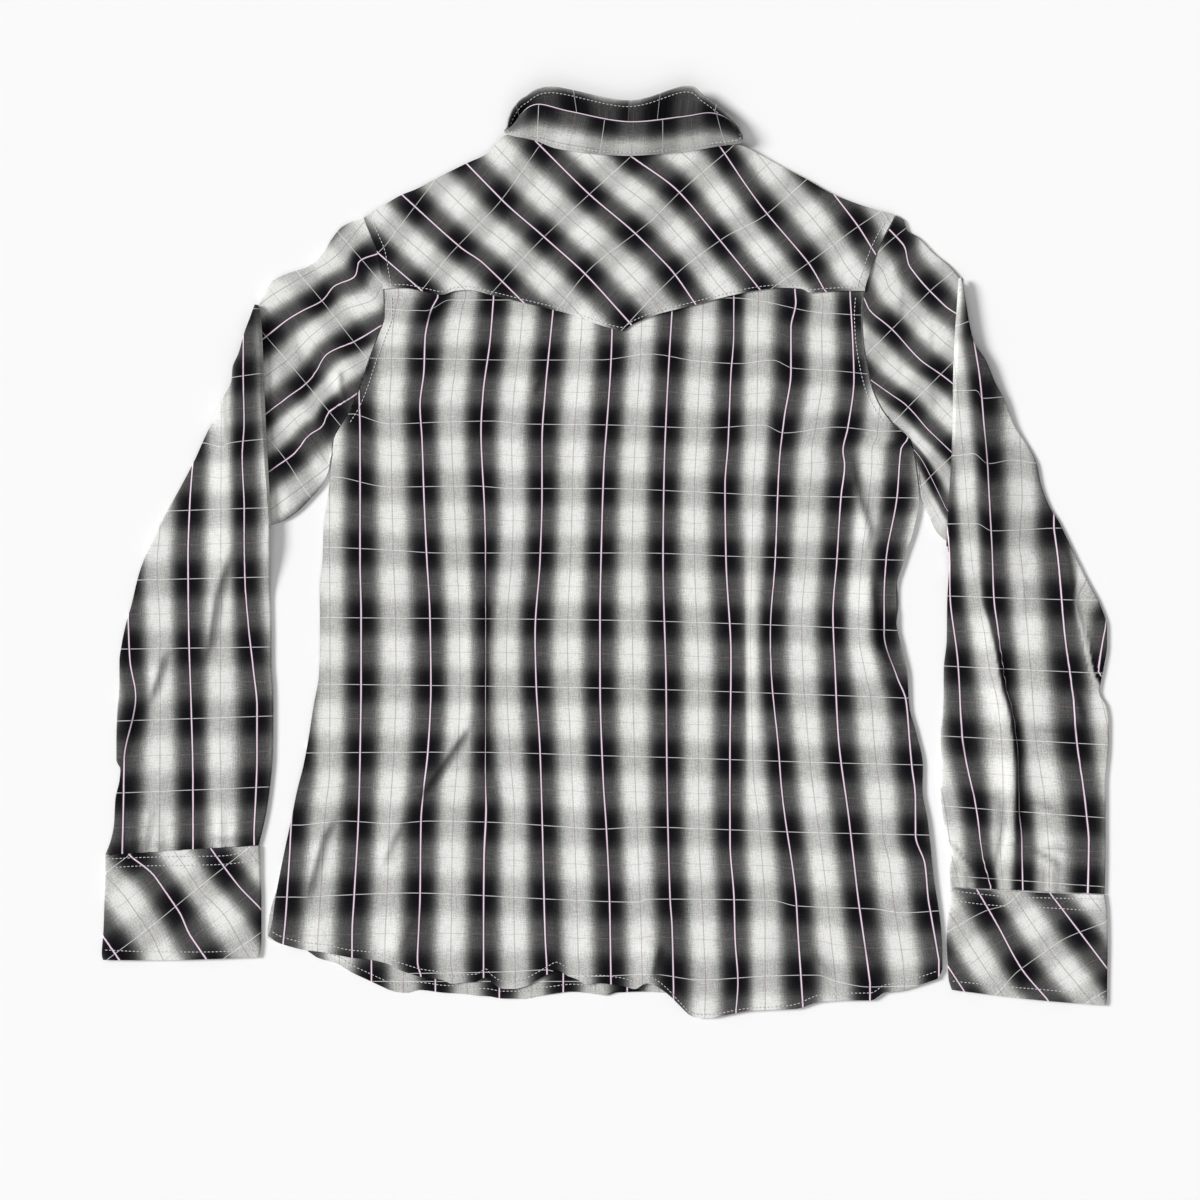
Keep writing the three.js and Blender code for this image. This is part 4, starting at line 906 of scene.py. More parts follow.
def share_property(name, description, default, highest=1.0):
    return bpy.props.FloatProperty(
        name=name, description=description, default=default, min=0, max=highest, subtype="FACTOR"
    )


def length_property(name, description, default, low, high):
    return bpy.props.FloatProperty(
        name=name, description=description, default=default, min=low, max=high, unit="LENGTH"
    )


class ShirtClothSettings(bpy.types.PropertyGroup):
    thickness: bpy.props.FloatProperty(
        name="Thickness",
        description="Thickness of a layer of cloth, in millimetres",
        default=0.9,
        min=0.4,
        max=1.2,
        subtype="UNSIGNED",
    )
    warp_share: share_property("Warp share", "How much of the shade comes from the lengthwise stripes", 0.77)
    grain: share_property("Yarn grain", "Unevenness of the yarn", 0.2, 0.5)
    roughness: share_property("Roughness", "Roughness of the cotton", 0.88)
    # Strength of the painted shade along the tight creases
    painted_fold_shade: share_property("Fold shade", "Darkening inside the tight creases", 0.6)
    wrinkles: length_property("Wrinkles", "Depth of the fine wrinkles", 0.0016, 0, 0.01)
    light: colour_property("Light", "Lightest part of the plaid", 236, 237, 232)
    dark: colour_property("Dark", "Darkest part of the plaid", 9, 8, 14)
    warp_line: colour_property("Warp line", "Bright line in the dark stripes", 240, 218, 232)
    line_border: colour_property("Line border", "Edges of the bright line", 58, 42, 60)
    weft_line: colour_property("Weft line", "Thin crosswise line", 248, 248, 243)
    faint_line: colour_property("Faint line", "Thin line in the light stripes", 150, 112, 134)


class ShirtSewingSettings(bpy.types.PropertyGroup):
    length: length_property("Stitch", "Length of a stitch", 0.0022, 0.001, 0.005)
    pitch: length_property("Pitch", "From one stitch to the next", 0.003, 0.0015, 0.006)
    width: length_property("Width", "Width of the thread", 0.0007, 0.0002, 0.001)
    thread: colour_property("Thread", "Colour of the thread", 226, 222, 226)


class ShirtSnapSettings(bpy.types.PropertyGroup):
    cap: length_property("Cap", "Radius of a snap's cap", 0.0055, 0.004, 0.0056)
    ring: length_property("Ring", "Width of the metal ring", 0.001, 0.0004, 0.002)
    pearl: colour_property("Pearl", "Colour of the snap's face", 235, 228, 220)
    metal: colour_property("Metal", "Colour of the snap's ring", 190, 188, 184)


class ShirtStageSettings(bpy.types.PropertyGroup):
    floor: colour_property("Floor", "Colour of the floor", 250, 250, 250)
    key: bpy.props.FloatProperty(
        name="Key light", description="Strength of the main soft light", default=3.2, min=0, max=10
    )
    sky: bpy.props.FloatProperty(
        name="Room light", description="Strength of the even light", default=0.26, min=0, max=3
    )
    height: length_property("Camera height", "Camera above the table", 2.1565, 1, 5)


def cloth_materials():
    settings = bpy.context.scene.shirt_cloth
    straight = plaid_cloth("plaid_cotton", settings)
    bias = plaid_cloth("plaid_cotton_bias", settings)
    return straight, bias


def straight_numbers(across, down):
    """Plaid of the fronts, laid so that their hem falls in a dark row; the dark row also stands in as
    painted shade where the hem peeks out under the back's edge.
    """
    return across / 64.0 + 0.2, (down - 990) / 68.5 + 0.12


class SHIRT_OT_add_back(bpy.types.Operator):
    """Back panel below the pointed yoke seam, with its darts, waist and rippled hem"""

    bl_idname = "shirt.add_back"
    bl_label = "Back"

    def execute(self, context):
        settings = context.scene.shirt_cloth
        straight, _ = cloth_materials()
        across, down = panel_grid(
            lambda x: table(BACK_HEM, x), (268, 937.5), lambda x: table(YOKE_SEAM, x) - 7, (383.6, 864.3),
            left_side, right_side, 213, 205,
        )
        points = to_frame(across, down, back_top(across, down))
        fabric = (plaid_number(BACK_WARP, 90, across, down), plaid_number(BACK_WEFT, 0, across, down, 68))
        # Painted shade along the back's tight creases
        shade = painted_crease_shade(BACK_CREASES, across, down)
        piece = cloth_sheet("back_panel", points, fabric, settings.thickness, shade=shade)
        finish_cloth(piece, "back", straight)
        return {"FINISHED"}


class SHIRT_OT_add_yoke(bpy.types.Operator):
    """Yoke cut on the bias, from the shoulders to its pointed seam over the back"""

    bl_idname = "shirt.add_yoke"
    bl_label = "Yoke"

    def execute(self, context):
        settings = context.scene.shirt_cloth
        _, bias = cloth_materials()
        across, down = panel_grid(
            lambda x: table(YOKE_SEAM, x), (383, 864.6), lambda x: table(SHOULDERS, x), (363.8, 895),
            left_side, right_side, 145, 49,
        )
        points = to_frame(across, down, yoke_top(across, down))
        warp = plaid_number(YOKE_WARP, 46, across, down, 60)
        weft = plaid_number(YOKE_WEFT, -44, across, down, 60)
        # Painted shade along the yoke's tight creases
        shade = painted_crease_shade(YOKE_CREASES, across, down)
        piece = cloth_sheet("yoke_panel", points, (warp, weft), settings.thickness, shade=shade)
        finish_cloth(piece, "back_yoke", bias)
        return {"FINISHED"}


def front_panel(name, node, ends_hem, ends_top, left, right, material, settings):
    def top(x):
        inside = (x > 507) & (x < 740)
        return np.where(inside, table(FRONT_NECK, x), table(SHOULDERS, x) + 0.8)

    across, down = panel_grid(
        lambda x: table(FRONT_HEM, x), ends_hem, top, ends_top, left, right, 61, 97
    )
    points = to_frame(across, down, WALL - 0.1)
    piece = cloth_sheet(name, points, straight_numbers(across, down), settings.thickness)
    finish_cloth(piece, node, material)
    return piece


class SHIRT_OT_add_fronts(bpy.types.Operator):
    """Both fronts and the two bands of their opening, flat on the table under the back"""

    bl_idname = "shirt.add_fronts"
    bl_label = "Fronts and bands"

    def execute(self, context):
        settings = context.scene.shirt_cloth
        straight, _ = cloth_materials()
        middle = CHART_MIDDLE[0] + 12 / CHART_MM
        reach = 16.2 / CHART_MM

        def left_edge(down):
            _, y = chart_mm(0, down)
            return left_side(down) + 0.8 - 4 * (1 - ease(np.abs(y + 277) / 26))

        def right_edge(down):
            _, y = chart_mm(0, down)
            return right_side(down) - 0.8 + 4 * (1 - ease(np.abs(y + 38) / 26))

        def straight_edge(across):
            return lambda down: np.full(np.shape(down), float(across))

        front_panel("front_left_panel", "front_left", (266.5, middle - reach), (364.5, middle - reach),
                    left_edge, straight_edge(middle - reach), straight, settings)
        front_panel("front_right_panel", "front_right", (middle + reach, 937), (middle + reach, 894),
                    straight_edge(middle + reach), right_edge, straight, settings)
        for name, node, left, right, base, lift in (
            ("placket_band_strip", "placket_band", -16, 16, WALL - 0.1, 0),
            ("underlap_band_strip", "underlap_band", -19, 15, LAYER + WALL - 0.05, 2),
        ):
            first = middle + left / CHART_MM
            last = middle + right / CHART_MM
            across, down = panel_grid(
                lambda x: table(FRONT_HEM, x) - lift, (first, last),
                lambda x: table(FRONT_NECK, x) + lift / 2, (first, last),
                straight_edge(first), straight_edge(last), 17, 121,
            )
            points = to_frame(across, down, base)
            piece = cloth_sheet(name, points, straight_numbers(across, down), settings.thickness)
            finish_cloth(piece, node, straight)
        return {"FINISHED"}


def sleeve_row(out, inner, turn=0, layer=0, bow=0.0, fold=0.0, lower=False, from_cuff=None):
    return {"out": out, "in": inner, "turn": turn, "layer": layer, "bow": bow, "fold": fold,
            "lower": lower, "from_cuff": from_cuff}


def sleeve_rows(crown, underarm, fold, outer, inner, outer_rows, inner_rows, side):
    """Lines across a sleeve: the upper sleeve, the hidden pleat, and the lower sleeve over it."""
    rows = []
    for w in np.linspace(0, 1, 44):
        out = [float(v) for v in along(crown, w)]
        under = [float(v) for v in along(underarm, w)]
        rows.append(sleeve_row(out, under, bow=(1 - w) ** 2))
    top_x, top_y = fold[0]
    end_x, end_y = fold[-1]
    for turn, layer, reach, top_drop, end_rise in ((90, 0.5, 38, 8, 3), (180, 1, 19, 6, 2)):
        hidden_top = (top_x + side * 1.5, top_y + top_drop)
        hidden_end = (end_x + side * reach, end_y - end_rise)
        rows.append(sleeve_row(hidden_top, hidden_end, turn, layer))
    for turn, layer, shift in ((135, 1.15, 1.6), (90, 1.5, 0), (45, 1.85, 1.2)):
        edge_top = (top_x + side * shift, top_y + 1)
        edge_end = (end_x + side * shift, end_y - 1)
        rows.append(sleeve_row(edge_top, edge_end, turn, layer, fold=1.0, lower=True))
    for w in np.linspace(0.008, 1, 150):
        out_down = smooth(w, *outer_rows)
        in_down = smooth(w, *inner_rows)
        out = (float(table(outer, out_down)), float(out_down))
        under = (float(table(inner, in_down)), float(in_down))
        bend = max(0.0, 1 - w / 0.35) ** 2
        rows.append(sleeve_row(out, under, layer=2, fold=bend, lower=True, from_cuff=(1 - w) * 300))
    return rows


def tube_loop(length, top_count, under_count):
    """Once round a flattened tube: shares across it, and heights from -1 to 1."""
    turns = np.radians([0, 30, 60])
    corner = np.minimum(0.3, TUBE_HALF * (1 - np.cos(turns)) / CHART_MM / length)
    lift = np.sin(turns)
    edge = min(0.32, TUBE_HALF / CHART_MM / length)
    share = [corner, np.linspace(edge, 1 - edge, top_count), 1 - corner[::-1], 1 - corner[1:],
             np.linspace(1 - edge, edge, under_count), corner[:0:-1], corner[:1]]
    height = [lift, np.ones(top_count), lift[::-1], -lift[1:],
              -np.ones(under_count), -lift[:0:-1], lift[:1]]
    return np.concatenate(share), np.concatenate(height)


def sleeve_line(row, armhole, fold_line, side, edge, elbow, creases, seed):
    """Places and heights once round the sleeve on one of its lines, and what is its upper face."""
    chord_x = row["in"][0] - row["out"][0]
    chord_y = row["in"][1] - row["out"][1]
    length = math.hypot(chord_x, chord_y)
    s, b = tube_loop(length, 44, 18)
    across = mix(row["out"][0], row["in"][0], s)
    down = mix(row["out"][1], row["in"][1], s)
    if row["bow"]:
        seam_down = mix(armhole["out"][1], armhole["in"][1], s)
        chord = mix(armhole["out"][0], armhole["in"][0], s)
        across = across + row["bow"] * (edge(seam_down) - chord)
    if row["layer"] == 0:
        limit = edge(down) + side * 0.35
        across = np.maximum(across, limit) if side > 0 else np.minimum(across, limit)
    if row["fold"]:
        fold_down = mix(fold_line[0, 1], fold_line[-1, 1], s)
        chord = mix(fold_line[0, 0], fold_line[-1, 0], s)
        bend = smooth(fold_down, fold_line[:, 1], fold_line[:, 0]) - chord
        across = across + row["fold"] * bend
    if row["layer"] < 2:
        level = np.full(s.shape, TUBE_HALF + row["layer"] * PLEAT_PITCH)
    else:
        level = elbow(across, down)
    forward = np.array([-chord_y, chord_x]) / length
    slanted = abs(forward[0]) > 0.3
    if (slanted and forward[0] * side < 0) or (not slanted and forward[1] < 0):
        forward = -forward
    bump = np.zeros(s.shape)
    if row["turn"] == 0:
        loose = ripple(across, down, seed, 0.28, 50, 170)
        if row["from_cuff"] is not None:
            pucker = np.sin(across / 2.5 + 1.6 * np.sin(across / 11)) * math.exp(-row["from_cuff"] / 13)
            loose = loose + 1.3 * pucker
        bump = np.where(b > 0, np.maximum(crease_height(creases, across, down) + loose, -0.8), 0)
        bump = bump * np.clip(b, 0, 1) * ease(np.minimum(s, 1 - s) * length / 8)
    turn = math.radians(row["turn"])
    push = b * TUBE_HALF
    across = across - forward[0] * math.sin(turn) * push / CHART_MM
    down = down - forward[1] * math.sin(turn) * push / CHART_MM
    height = np.maximum(level + math.cos(turn) * push + bump, 0)
    return across, down, height, (b > 0) & (row["turn"] == 0)


def sleeve_sheet(name, node, rows, fold, side, edge, elbow, creases, seed, numbers, material, settings):
    """One sleeve as a flattened tube of cloth through its lines."""
    fold_line = np.array(fold, float)
    lines = [sleeve_line(row, rows[0], fold_line, side, edge, elbow, creases, seed) for row in rows]
    across, down, height, upper_face = (np.array([line[k] for line in lines]) for k in range(4))
    lower = np.array([[row["lower"]] for row in rows]) & np.ones(across.shape, bool)
    upper_lines, lower_lines = numbers
    warp = np.where(lower, plaid_number(lower_lines[0], lower_lines[1], across, down),
                    plaid_number(upper_lines[0], upper_lines[1], across, down))
    weft = np.where(lower, plaid_number(lower_lines[2], lower_lines[3], across, down, 69),
                    plaid_number(upper_lines[2], upper_lines[3], across, down, 64))
    points = to_frame(across, down, height)
    # Painted shade along the tight creases, only on the sleeve's upper face
    shade = np.where(upper_face, painted_crease_shade(creases, across, down), 0)
    if side < 0:
        points, warp, weft, shade = (grid[::-1] for grid in (points, warp, weft, shade))
    thickness = settings.thickness * TUBE_CLOTH
    piece = cloth_sheet(name, points, (warp, weft), thickness, around=True, shade=shade)
    finish_cloth(piece, node, material)
    return piece


def left_elbow(across, down):
    x, y = chart_mm(across, down)
    share = np.clip((184 - y) / (184 - 22), 0, 1)
    pleat = mix(-267, -286, share)
    aside = 1 - ease((x - pleat) * -1 / 42)
    below = 1 - ease((12 - y) / 50)
    return TUBE_HALF + 2 * PLEAT_PITCH * aside * below


def right_elbow(across, down):
    x, y = chart_mm(across, down)
    share = np.clip((200 - y) / (200 - 8), 0, 1)
    pleat = mix(272, 287, share)
    aside = 1 - ease((x - pleat) / 42)
    below = 1 - ease((8 - y) / 50)
    return TUBE_HALF + 2 * PLEAT_PITCH * aside * below


class SHIRT_OT_add_sleeves(bpy.types.Operator):
    """Both sleeves, each folded over itself at the elbow"""

    bl_idname = "shirt.add_sleeves"
    bl_label = "Sleeves"

    def execute(self, context):
        settings = context.scene.shirt_cloth
        straight, _ = cloth_materials()
        left_rows = sleeve_rows(
            LEFT_CROWN, LEFT_UNDERARM, LEFT_FOLD, LEFT_OUTER, LEFT_INNER,
            ([0, 0.5, 1], [304, 590, 855]), ([0, 0.5, 1], [526, 606, 845]), -1,
        )
        left_numbers = (
            (LEFT_UPPER_WARP, 143, LEFT_UPPER_WEFT, 51),
            (LEFT_LOWER_WARP, 90, LEFT_LOWER_WEFT, 0),
        )
        sleeve_sheet("sleeve_left_tube", "sleeve_left", left_rows, LEFT_FOLD, -1, left_side, left_elbow,
                     LEFT_SLEEVE_CREASES, 21, left_numbers, straight, settings)
        right_rows = sleeve_rows(
            RIGHT_CROWN, RIGHT_UNDERARM, RIGHT_FOLD, RIGHT_OUTER, RIGHT_INNER,
            ([0, 0.5, 1], [278, 590, 894]), ([0, 0.5, 1], [548, 622, 887]), 1,
        )
        right_numbers = (
            (RIGHT_UPPER_WARP, 44, RIGHT_UPPER_WEFT, -45),
            (RIGHT_LOWER_WARP, 90, RIGHT_LOWER_WEFT, 0),
        )
        sleeve_sheet("sleeve_right_tube", "sleeve_right", right_rows, RIGHT_FOLD, 1, right_side, right_elbow,
                     RIGHT_SLEEVE_CREASES, 33, right_numbers, straight, settings)
        return {"FINISHED"}


def cuff_sheet(name, node, lines, numbers, lean, flip, material, settings):
    """A cuff as a flat tube of two layers; lines run from its top to its lower edge."""
    shares = np.linspace(0, 1, 34)
    out_x, out_y = along(lines["out"], shares)
    in_x, in_y = along(lines["in"], shares)
    grids = []
    for i, share in enumerate(shares):
        s, b = tube_loop(math.hypot(in_x[i] - out_x[i], in_y[i] - out_y[i]), 46, 20)
        across = mix(out_x[i], in_x[i], s)
        down = mix(out_y[i], in_y[i], s) + np.sin(np.pi * s) * mix(*lines["sag"], share)
        loose = ripple(across, down, 51, 0.12, 40, 120)
        height = TUBE_HALF + b * TUBE_HALF + np.where(b > 0, loose + 0.1, 0)
        grids.append((across, down, np.maximum(height, 0)))
    across, down, height = (np.array([grid[k] for grid in grids]) for k in range(3))
    warp = plaid_number(numbers[0], lean[0], across, down, 60)
    weft = plaid_number(numbers[1], lean[1], across, down, 66)
    points = to_frame(across, down, height)
    if flip:
        points, warp, weft = (grid[::-1] for grid in (points, warp, weft))
    piece = cloth_sheet(name, points, (warp, weft), settings.thickness * TUBE_CLOTH, around=True)
    finish_cloth(piece, node, material)
    return piece


class SHIRT_OT_add_cuffs(bpy.types.Operator):
    """Both cuffs, cut on the bias"""

    bl_idname = "shirt.add_cuffs"
    bl_label = "Cuffs"

    def execute(self, context):
        settings = context.scene.shirt_cloth
        _, bias = cloth_materials()
        left = {
            "out": [(104.8, 856), (105, 872), (104, 901), (103, 931), (101.3, 955), (102.5, 960)],
            "in": [(259.5, 846), (260, 872), (261, 901), (261, 937), (260, 952), (258.5, 957)],
            "sag": (-1, 1.5),
        }
        cuff_sheet("cuff_left_tube", "cuff_left", left, (LEFT_CUFF_WARP, LEFT_CUFF_WEFT), (55, -38), True,
                   bias, settings)
        right = {
            "out": [(1105.3, 895), (1107.4, 912), (1108, 941), (1107.6, 980), (1107, 1002),
                    (1105.5, 1005.5)],
            "in": [(950.6, 888), (949, 912), (947, 941), (948, 965), (949, 980), (952, 990)],
            "sag": (1, 1.5),
        }
        cuff_sheet("cuff_right_tube", "cuff_right", right, (RIGHT_CUFF_WARP, RIGHT_CUFF_WEFT), (57, -35),
                   False, bias, settings)
        return {"FINISHED"}


def round_curve(column, t):
    """Smooth closed line through one column of the collar's sections, in millimetres."""
    rows = np.array([section[column] for section in COLLAR], float)
    count = len(rows)
    place = (t % 1) * count
    i = np.floor(place).astype(int)
    w = (place - i)[..., None]
    p0, p1, p2, p3 = (rows[(i + k) % count] for k in (-1, 0, 1, 2))
    return 0.5 * (2 * p1 + (p2 - p0) * w + (2 * p0 - 5 * p1 + 4 * p2 - p3) * w**2
                  + (3 * p1 - p0 - 3 * p2 + p3) * w**3)


def open_share(t):
    count = len(COLLAR)
    place = (t % 1) * count
    i = np.floor(place).astype(int)
    rows = np.array([section[3] for section in COLLAR], float)
    return mix(rows[i % count], rows[(i + 1) % count], place - i)


def leaf_points(t, s):
    roll = round_curve(1, t)
    edge = round_curve(2, t)
    opened = open_share(t)
    point = mix(roll, edge, s[..., None])
    point[..., 2] = mix(roll[..., 2], edge[..., 2], mix(s, s**5, opened))
    bulge = (1 - opened) * 4 * np.sin(np.pi * s)
    point[..., 1] -= 0.6 * bulge
    point[..., 2] += 0.8 * bulge
    return point


def stand_points(t, s):
    seam = round_curve(0, t)
    roll = round_curve(1, t)
    reach = 1 - 2.0 / np.linalg.norm(seam - roll, axis=-1)
    return mix(seam, roll, (s * reach)[..., None])


def mm_to_frame(points):
    shifted = points.copy()
    shifted[..., 2] = np.maximum(shifted[..., 2], 0.35)
    shifted = shifted * MM
    shifted[..., 0] += FRAME_SHIFT[0]
    shifted[..., 1] += FRAME_SHIFT[1]
    return shifted


def run_length(points, axis):
    steps = np.linalg.norm(np.diff(points, axis=axis), axis=-1)
    start = np.zeros_like(np.take(steps, [0], axis=axis))
    return np.cumsum(np.concatenate([start, steps], axis=axis), axis=axis)


def collar_sheet(name, node, place, start, end, columns, steps, material, settings, around):
    t = np.linspace(start, end, columns)[None, :] + np.zeros((steps + 1, 1))
    s = np.linspace(0, 1, steps + 1)[:, None] + np.zeros((1, columns))
    points = place(t, s)
    down_leaf = run_length(points, 0) / 54.0
    # On the open front of the leaf the warp numbers run from 0.3 at the edge down to 0.07, near the middle
    # of a dark stripe, and stay there further in: partly the plaid, partly painted shade of the hollow
    # inside the collar
    plaid_and_painted_hollow_shade = np.maximum(0.07, 0.3 + (down_leaf - down_leaf[-1:]) * 1.65)
    warp = mix(down_leaf, plaid_and_painted_hollow_shade, ease(open_share(t)))
    round_run = run_length(points[-1:], 1)
    middle = round_run[:, np.argmin(np.abs(t[0] - 1))][:, None]
    weft = (round_run - middle) / 48.3 + np.zeros_like(warp) + 0.393
    piece = cloth_sheet(name, mm_to_frame(points), (warp, weft), 1.0, around=around, offset=0)
    finish_cloth(piece, node, material)
    return piece


class SHIRT_OT_add_collar(bpy.types.Operator):
    """Collar: its stand round the neck, and the leaf that falls over the back and stands open in front"""

    bl_idname = "shirt.add_collar"
    bl_label = "Collar"

    def execute(self, context):
        settings = context.scene.shirt_cloth
        straight, _ = cloth_materials()
        count = len(COLLAR)
        collar_sheet("collar_leaf_fall", "collar_leaf", leaf_points, 0.5, 1.5, 241, 18,
                     straight, settings, True)
        collar_sheet("collar_stand_back", "collar_stand", stand_points, 15 / count, 1 + 3 / count, 61, 8,
                     straight, settings, False)
        collar_sheet("collar_stand_throat", "collar_stand_front", stand_points, 6 / count, 12 / count, 61, 8,
                     straight, settings, False)
        return {"FINISHED"}


SNAP_PLACES = (
    [(f"front_snap_{i + 1}", 12, 222 - 79 * i, 2.8) for i in range(7)]
    + [("collar_snap", 14, 251, 1.6)]
    + [("cuff_left_snap_1", -276, -246, 1.5), ("cuff_left_snap_2", -276, -284, 1.5)]
    + [("cuff_right_snap_1", 276, -276, 1.5), ("cuff_right_snap_2", 276, -314, 1.5)]
)


def snap_model(top, settings, metal, pearl):
    """One snap at the origin: ring and pearl on its underside, and its back at the given height in mm."""
    clear_selection()
    bpy.ops.mesh.primitive_cylinder_add(
        vertices=32, radius=settings.cap, depth=WALL * MM, location=(0, 0, WALL / 2 * MM)
    )
    snap = bpy.context.object
    snap.data.materials.append(metal)
    snap.data.materials.append(pearl)
    select_faces(snap, -1)
    bpy.ops.mesh.inset(thickness=settings.ring * 0.45, depth=0)
    bpy.ops.mesh.inset(thickness=settings.ring * 0.55, depth=-0.0002)
    bpy.ops.mesh.inset(thickness=0.0002, depth=0)
    snap.active_material_index = 1
    bpy.ops.object.material_slot_assign()
    for thickness, depth in ((0.0012, 0.0001), (0.0012, 0.00006), (0.001, 0.00002)):
        bpy.ops.mesh.inset(thickness=thickness, depth=depth)
    select_faces(snap, 1)
    bpy.ops.mesh.inset(thickness=settings.cap - 0.003, depth=0)
    bpy.ops.mesh.inset(thickness=0.00005, depth=(top - WALL) * MM)
    bpy.ops.mesh.inset(thickness=0.0008, depth=0)
    bpy.ops.mesh.inset(thickness=0.0002, depth=-0.0003)
    bpy.ops.mesh.select_all(action="SELECT")
    bpy.ops.mesh.normals_make_consistent(inside=False)
    bpy.ops.object.mode_set(mode="OBJECT")
    bpy.ops.object.transform_apply(location=True, rotation=True, scale=True)
    bpy.ops.object.shade_smooth_by_angle(angle=math.radians(35))
    return snap


def select_faces(piece, side):
    """Opens the piece for editing with only the faces that look up (1) or down (-1) selected."""
    if piece.mode == "EDIT":
        bpy.ops.object.mode_set(mode="OBJECT")
    piece.data.polygons.foreach_set("select", [face.normal.z * side > 0.9 for face in piece.data.polygons])
    piece.data.edges.foreach_set("select", [False] * len(piece.data.edges))
    piece.data.vertices.foreach_set("select", [False] * len(piece.data.vertices))
    bpy.ops.object.mode_set(mode="EDIT")
    bpy.ops.mesh.select_mode(type="FACE")


class SHIRT_OT_add_snaps(bpy.types.Operator):
    """Pearl snaps with a metal ring, faces down on the front bands, the collar and the cuffs"""

    bl_idname = "shirt.add_snaps"
    bl_label = "Snaps"

    def execute(self, context):
        settings = context.scene.shirt_snaps
        pearl = snap_finish("snap_pearl", tuple(settings.pearl), linear(205, 196, 188), 0.0, 0.18, 260)
        metal = snap_finish("snap_metal", tuple(settings.metal), linear(150, 148, 144), 1.0, 0.28, 500)
        models = {top: snap_model(top, settings, metal, pearl) for top in (2.8, 1.6, 1.5)}
        for name, x, y, top in SNAP_PLACES:
            snap = models[top].copy()
            snap.data = models[top].data.copy()
            snap.name = f"{name}_pearl"
            context.collection.objects.link(snap)
            place = (x * MM + FRAME_SHIFT[0], y * MM + FRAME_SHIFT[1], 0)
            snap.data.transform(Matrix.Translation(place))
            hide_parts(name)
            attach(snap, "root")
        for model in models.values():
            bpy.data.objects.remove(model)
        return {"FINISHED"}


def stitch_template(settings):
    """One stitch: a slim rounded bead of thread, as its points and faces."""
    clear_selection()
    bpy.ops.mesh.primitive_uv_sphere_add(segments=6, ring_count=4, radius=0.5)
    bead = bpy.context.object
    bpy.ops.object.mode_set(mode="EDIT")
    bpy.ops.mesh.select_all(action="SELECT")
    bpy.ops.transform.resize(value=(settings.width, settings.width * 0.8, settings.length))
    bpy.ops.object.mode_set(mode="OBJECT")
    points = np.array([tuple(v.co) for v in bead.data.vertices])[:, [2, 0, 1]]
    faces = [tuple(p.vertices) for p in bead.data.polygons]
    bpy.data.objects.remove(bead)
    return points, faces


def stitch_row(name, lines, settings, material):
    """Rows of stitches along lines of points that lie on the cloth, joined in one piece."""
    bead, bead_faces = stitch_template(settings)
    points = []
    faces = []
    for line in lines:
        line = np.asarray(line, float)
        run = np.concatenate([[0], np.cumsum(np.linalg.norm(np.diff(line, axis=0), axis=1))])
        stops = np.arange(settings.pitch / 2, run[-1], settings.pitch)
        centres, ahead, behind = (
            np.stack([np.interp(stops + step, run, line[:, k]) for k in range(3)], axis=-1)
            for step in (0, 0.0008, -0.0008)
        )
        forward = ahead - behind
        forward = forward / np.linalg.norm(forward, axis=1, keepdims=True)
        sideways = np.cross(np.array([0, 0, 1.0]), forward)
        sideways = sideways / np.maximum(np.linalg.norm(sideways, axis=1, keepdims=True), 1e-9)
        up = np.cross(forward, sideways)
        for centre, f, s, u in zip(centres, forward, sideways, up):
            base = len(points)
            placed = centre + bead[:, 0:1] * f + bead[:, 1:2] * s + bead[:, 2:3] * u
            points.extend(map(tuple, placed))
            faces.extend(tuple(base + i for i in face) for face in bead_faces)
    mesh = bpy.data.meshes.new(name)
    mesh.from_pydata(points, [], faces)
    piece = bpy.data.objects.new(name, mesh)
    bpy.context.scene.collection.objects.link(piece)
    mesh.materials.append(material)
    clear_selection()
    piece.select_set(True)
    bpy.context.view_layer.objects.active = piece
    bpy.ops.object.mode_set(mode="EDIT")
    bpy.ops.mesh.select_all(action="SELECT")
    bpy.ops.mesh.normals_make_consistent(inside=False)
    bpy.ops.object.mode_set(mode="OBJECT")
    bpy.ops.object.shade_smooth()
    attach(piece, "root")
    return piece


def chart_line(points, top, count=160):
    """A stitched line on the chart as points on the cloth."""
    across, down = along(points, np.linspace(0, 1, count))
    return to_frame(across, down, top(across, down) + THREAD_LIFT)


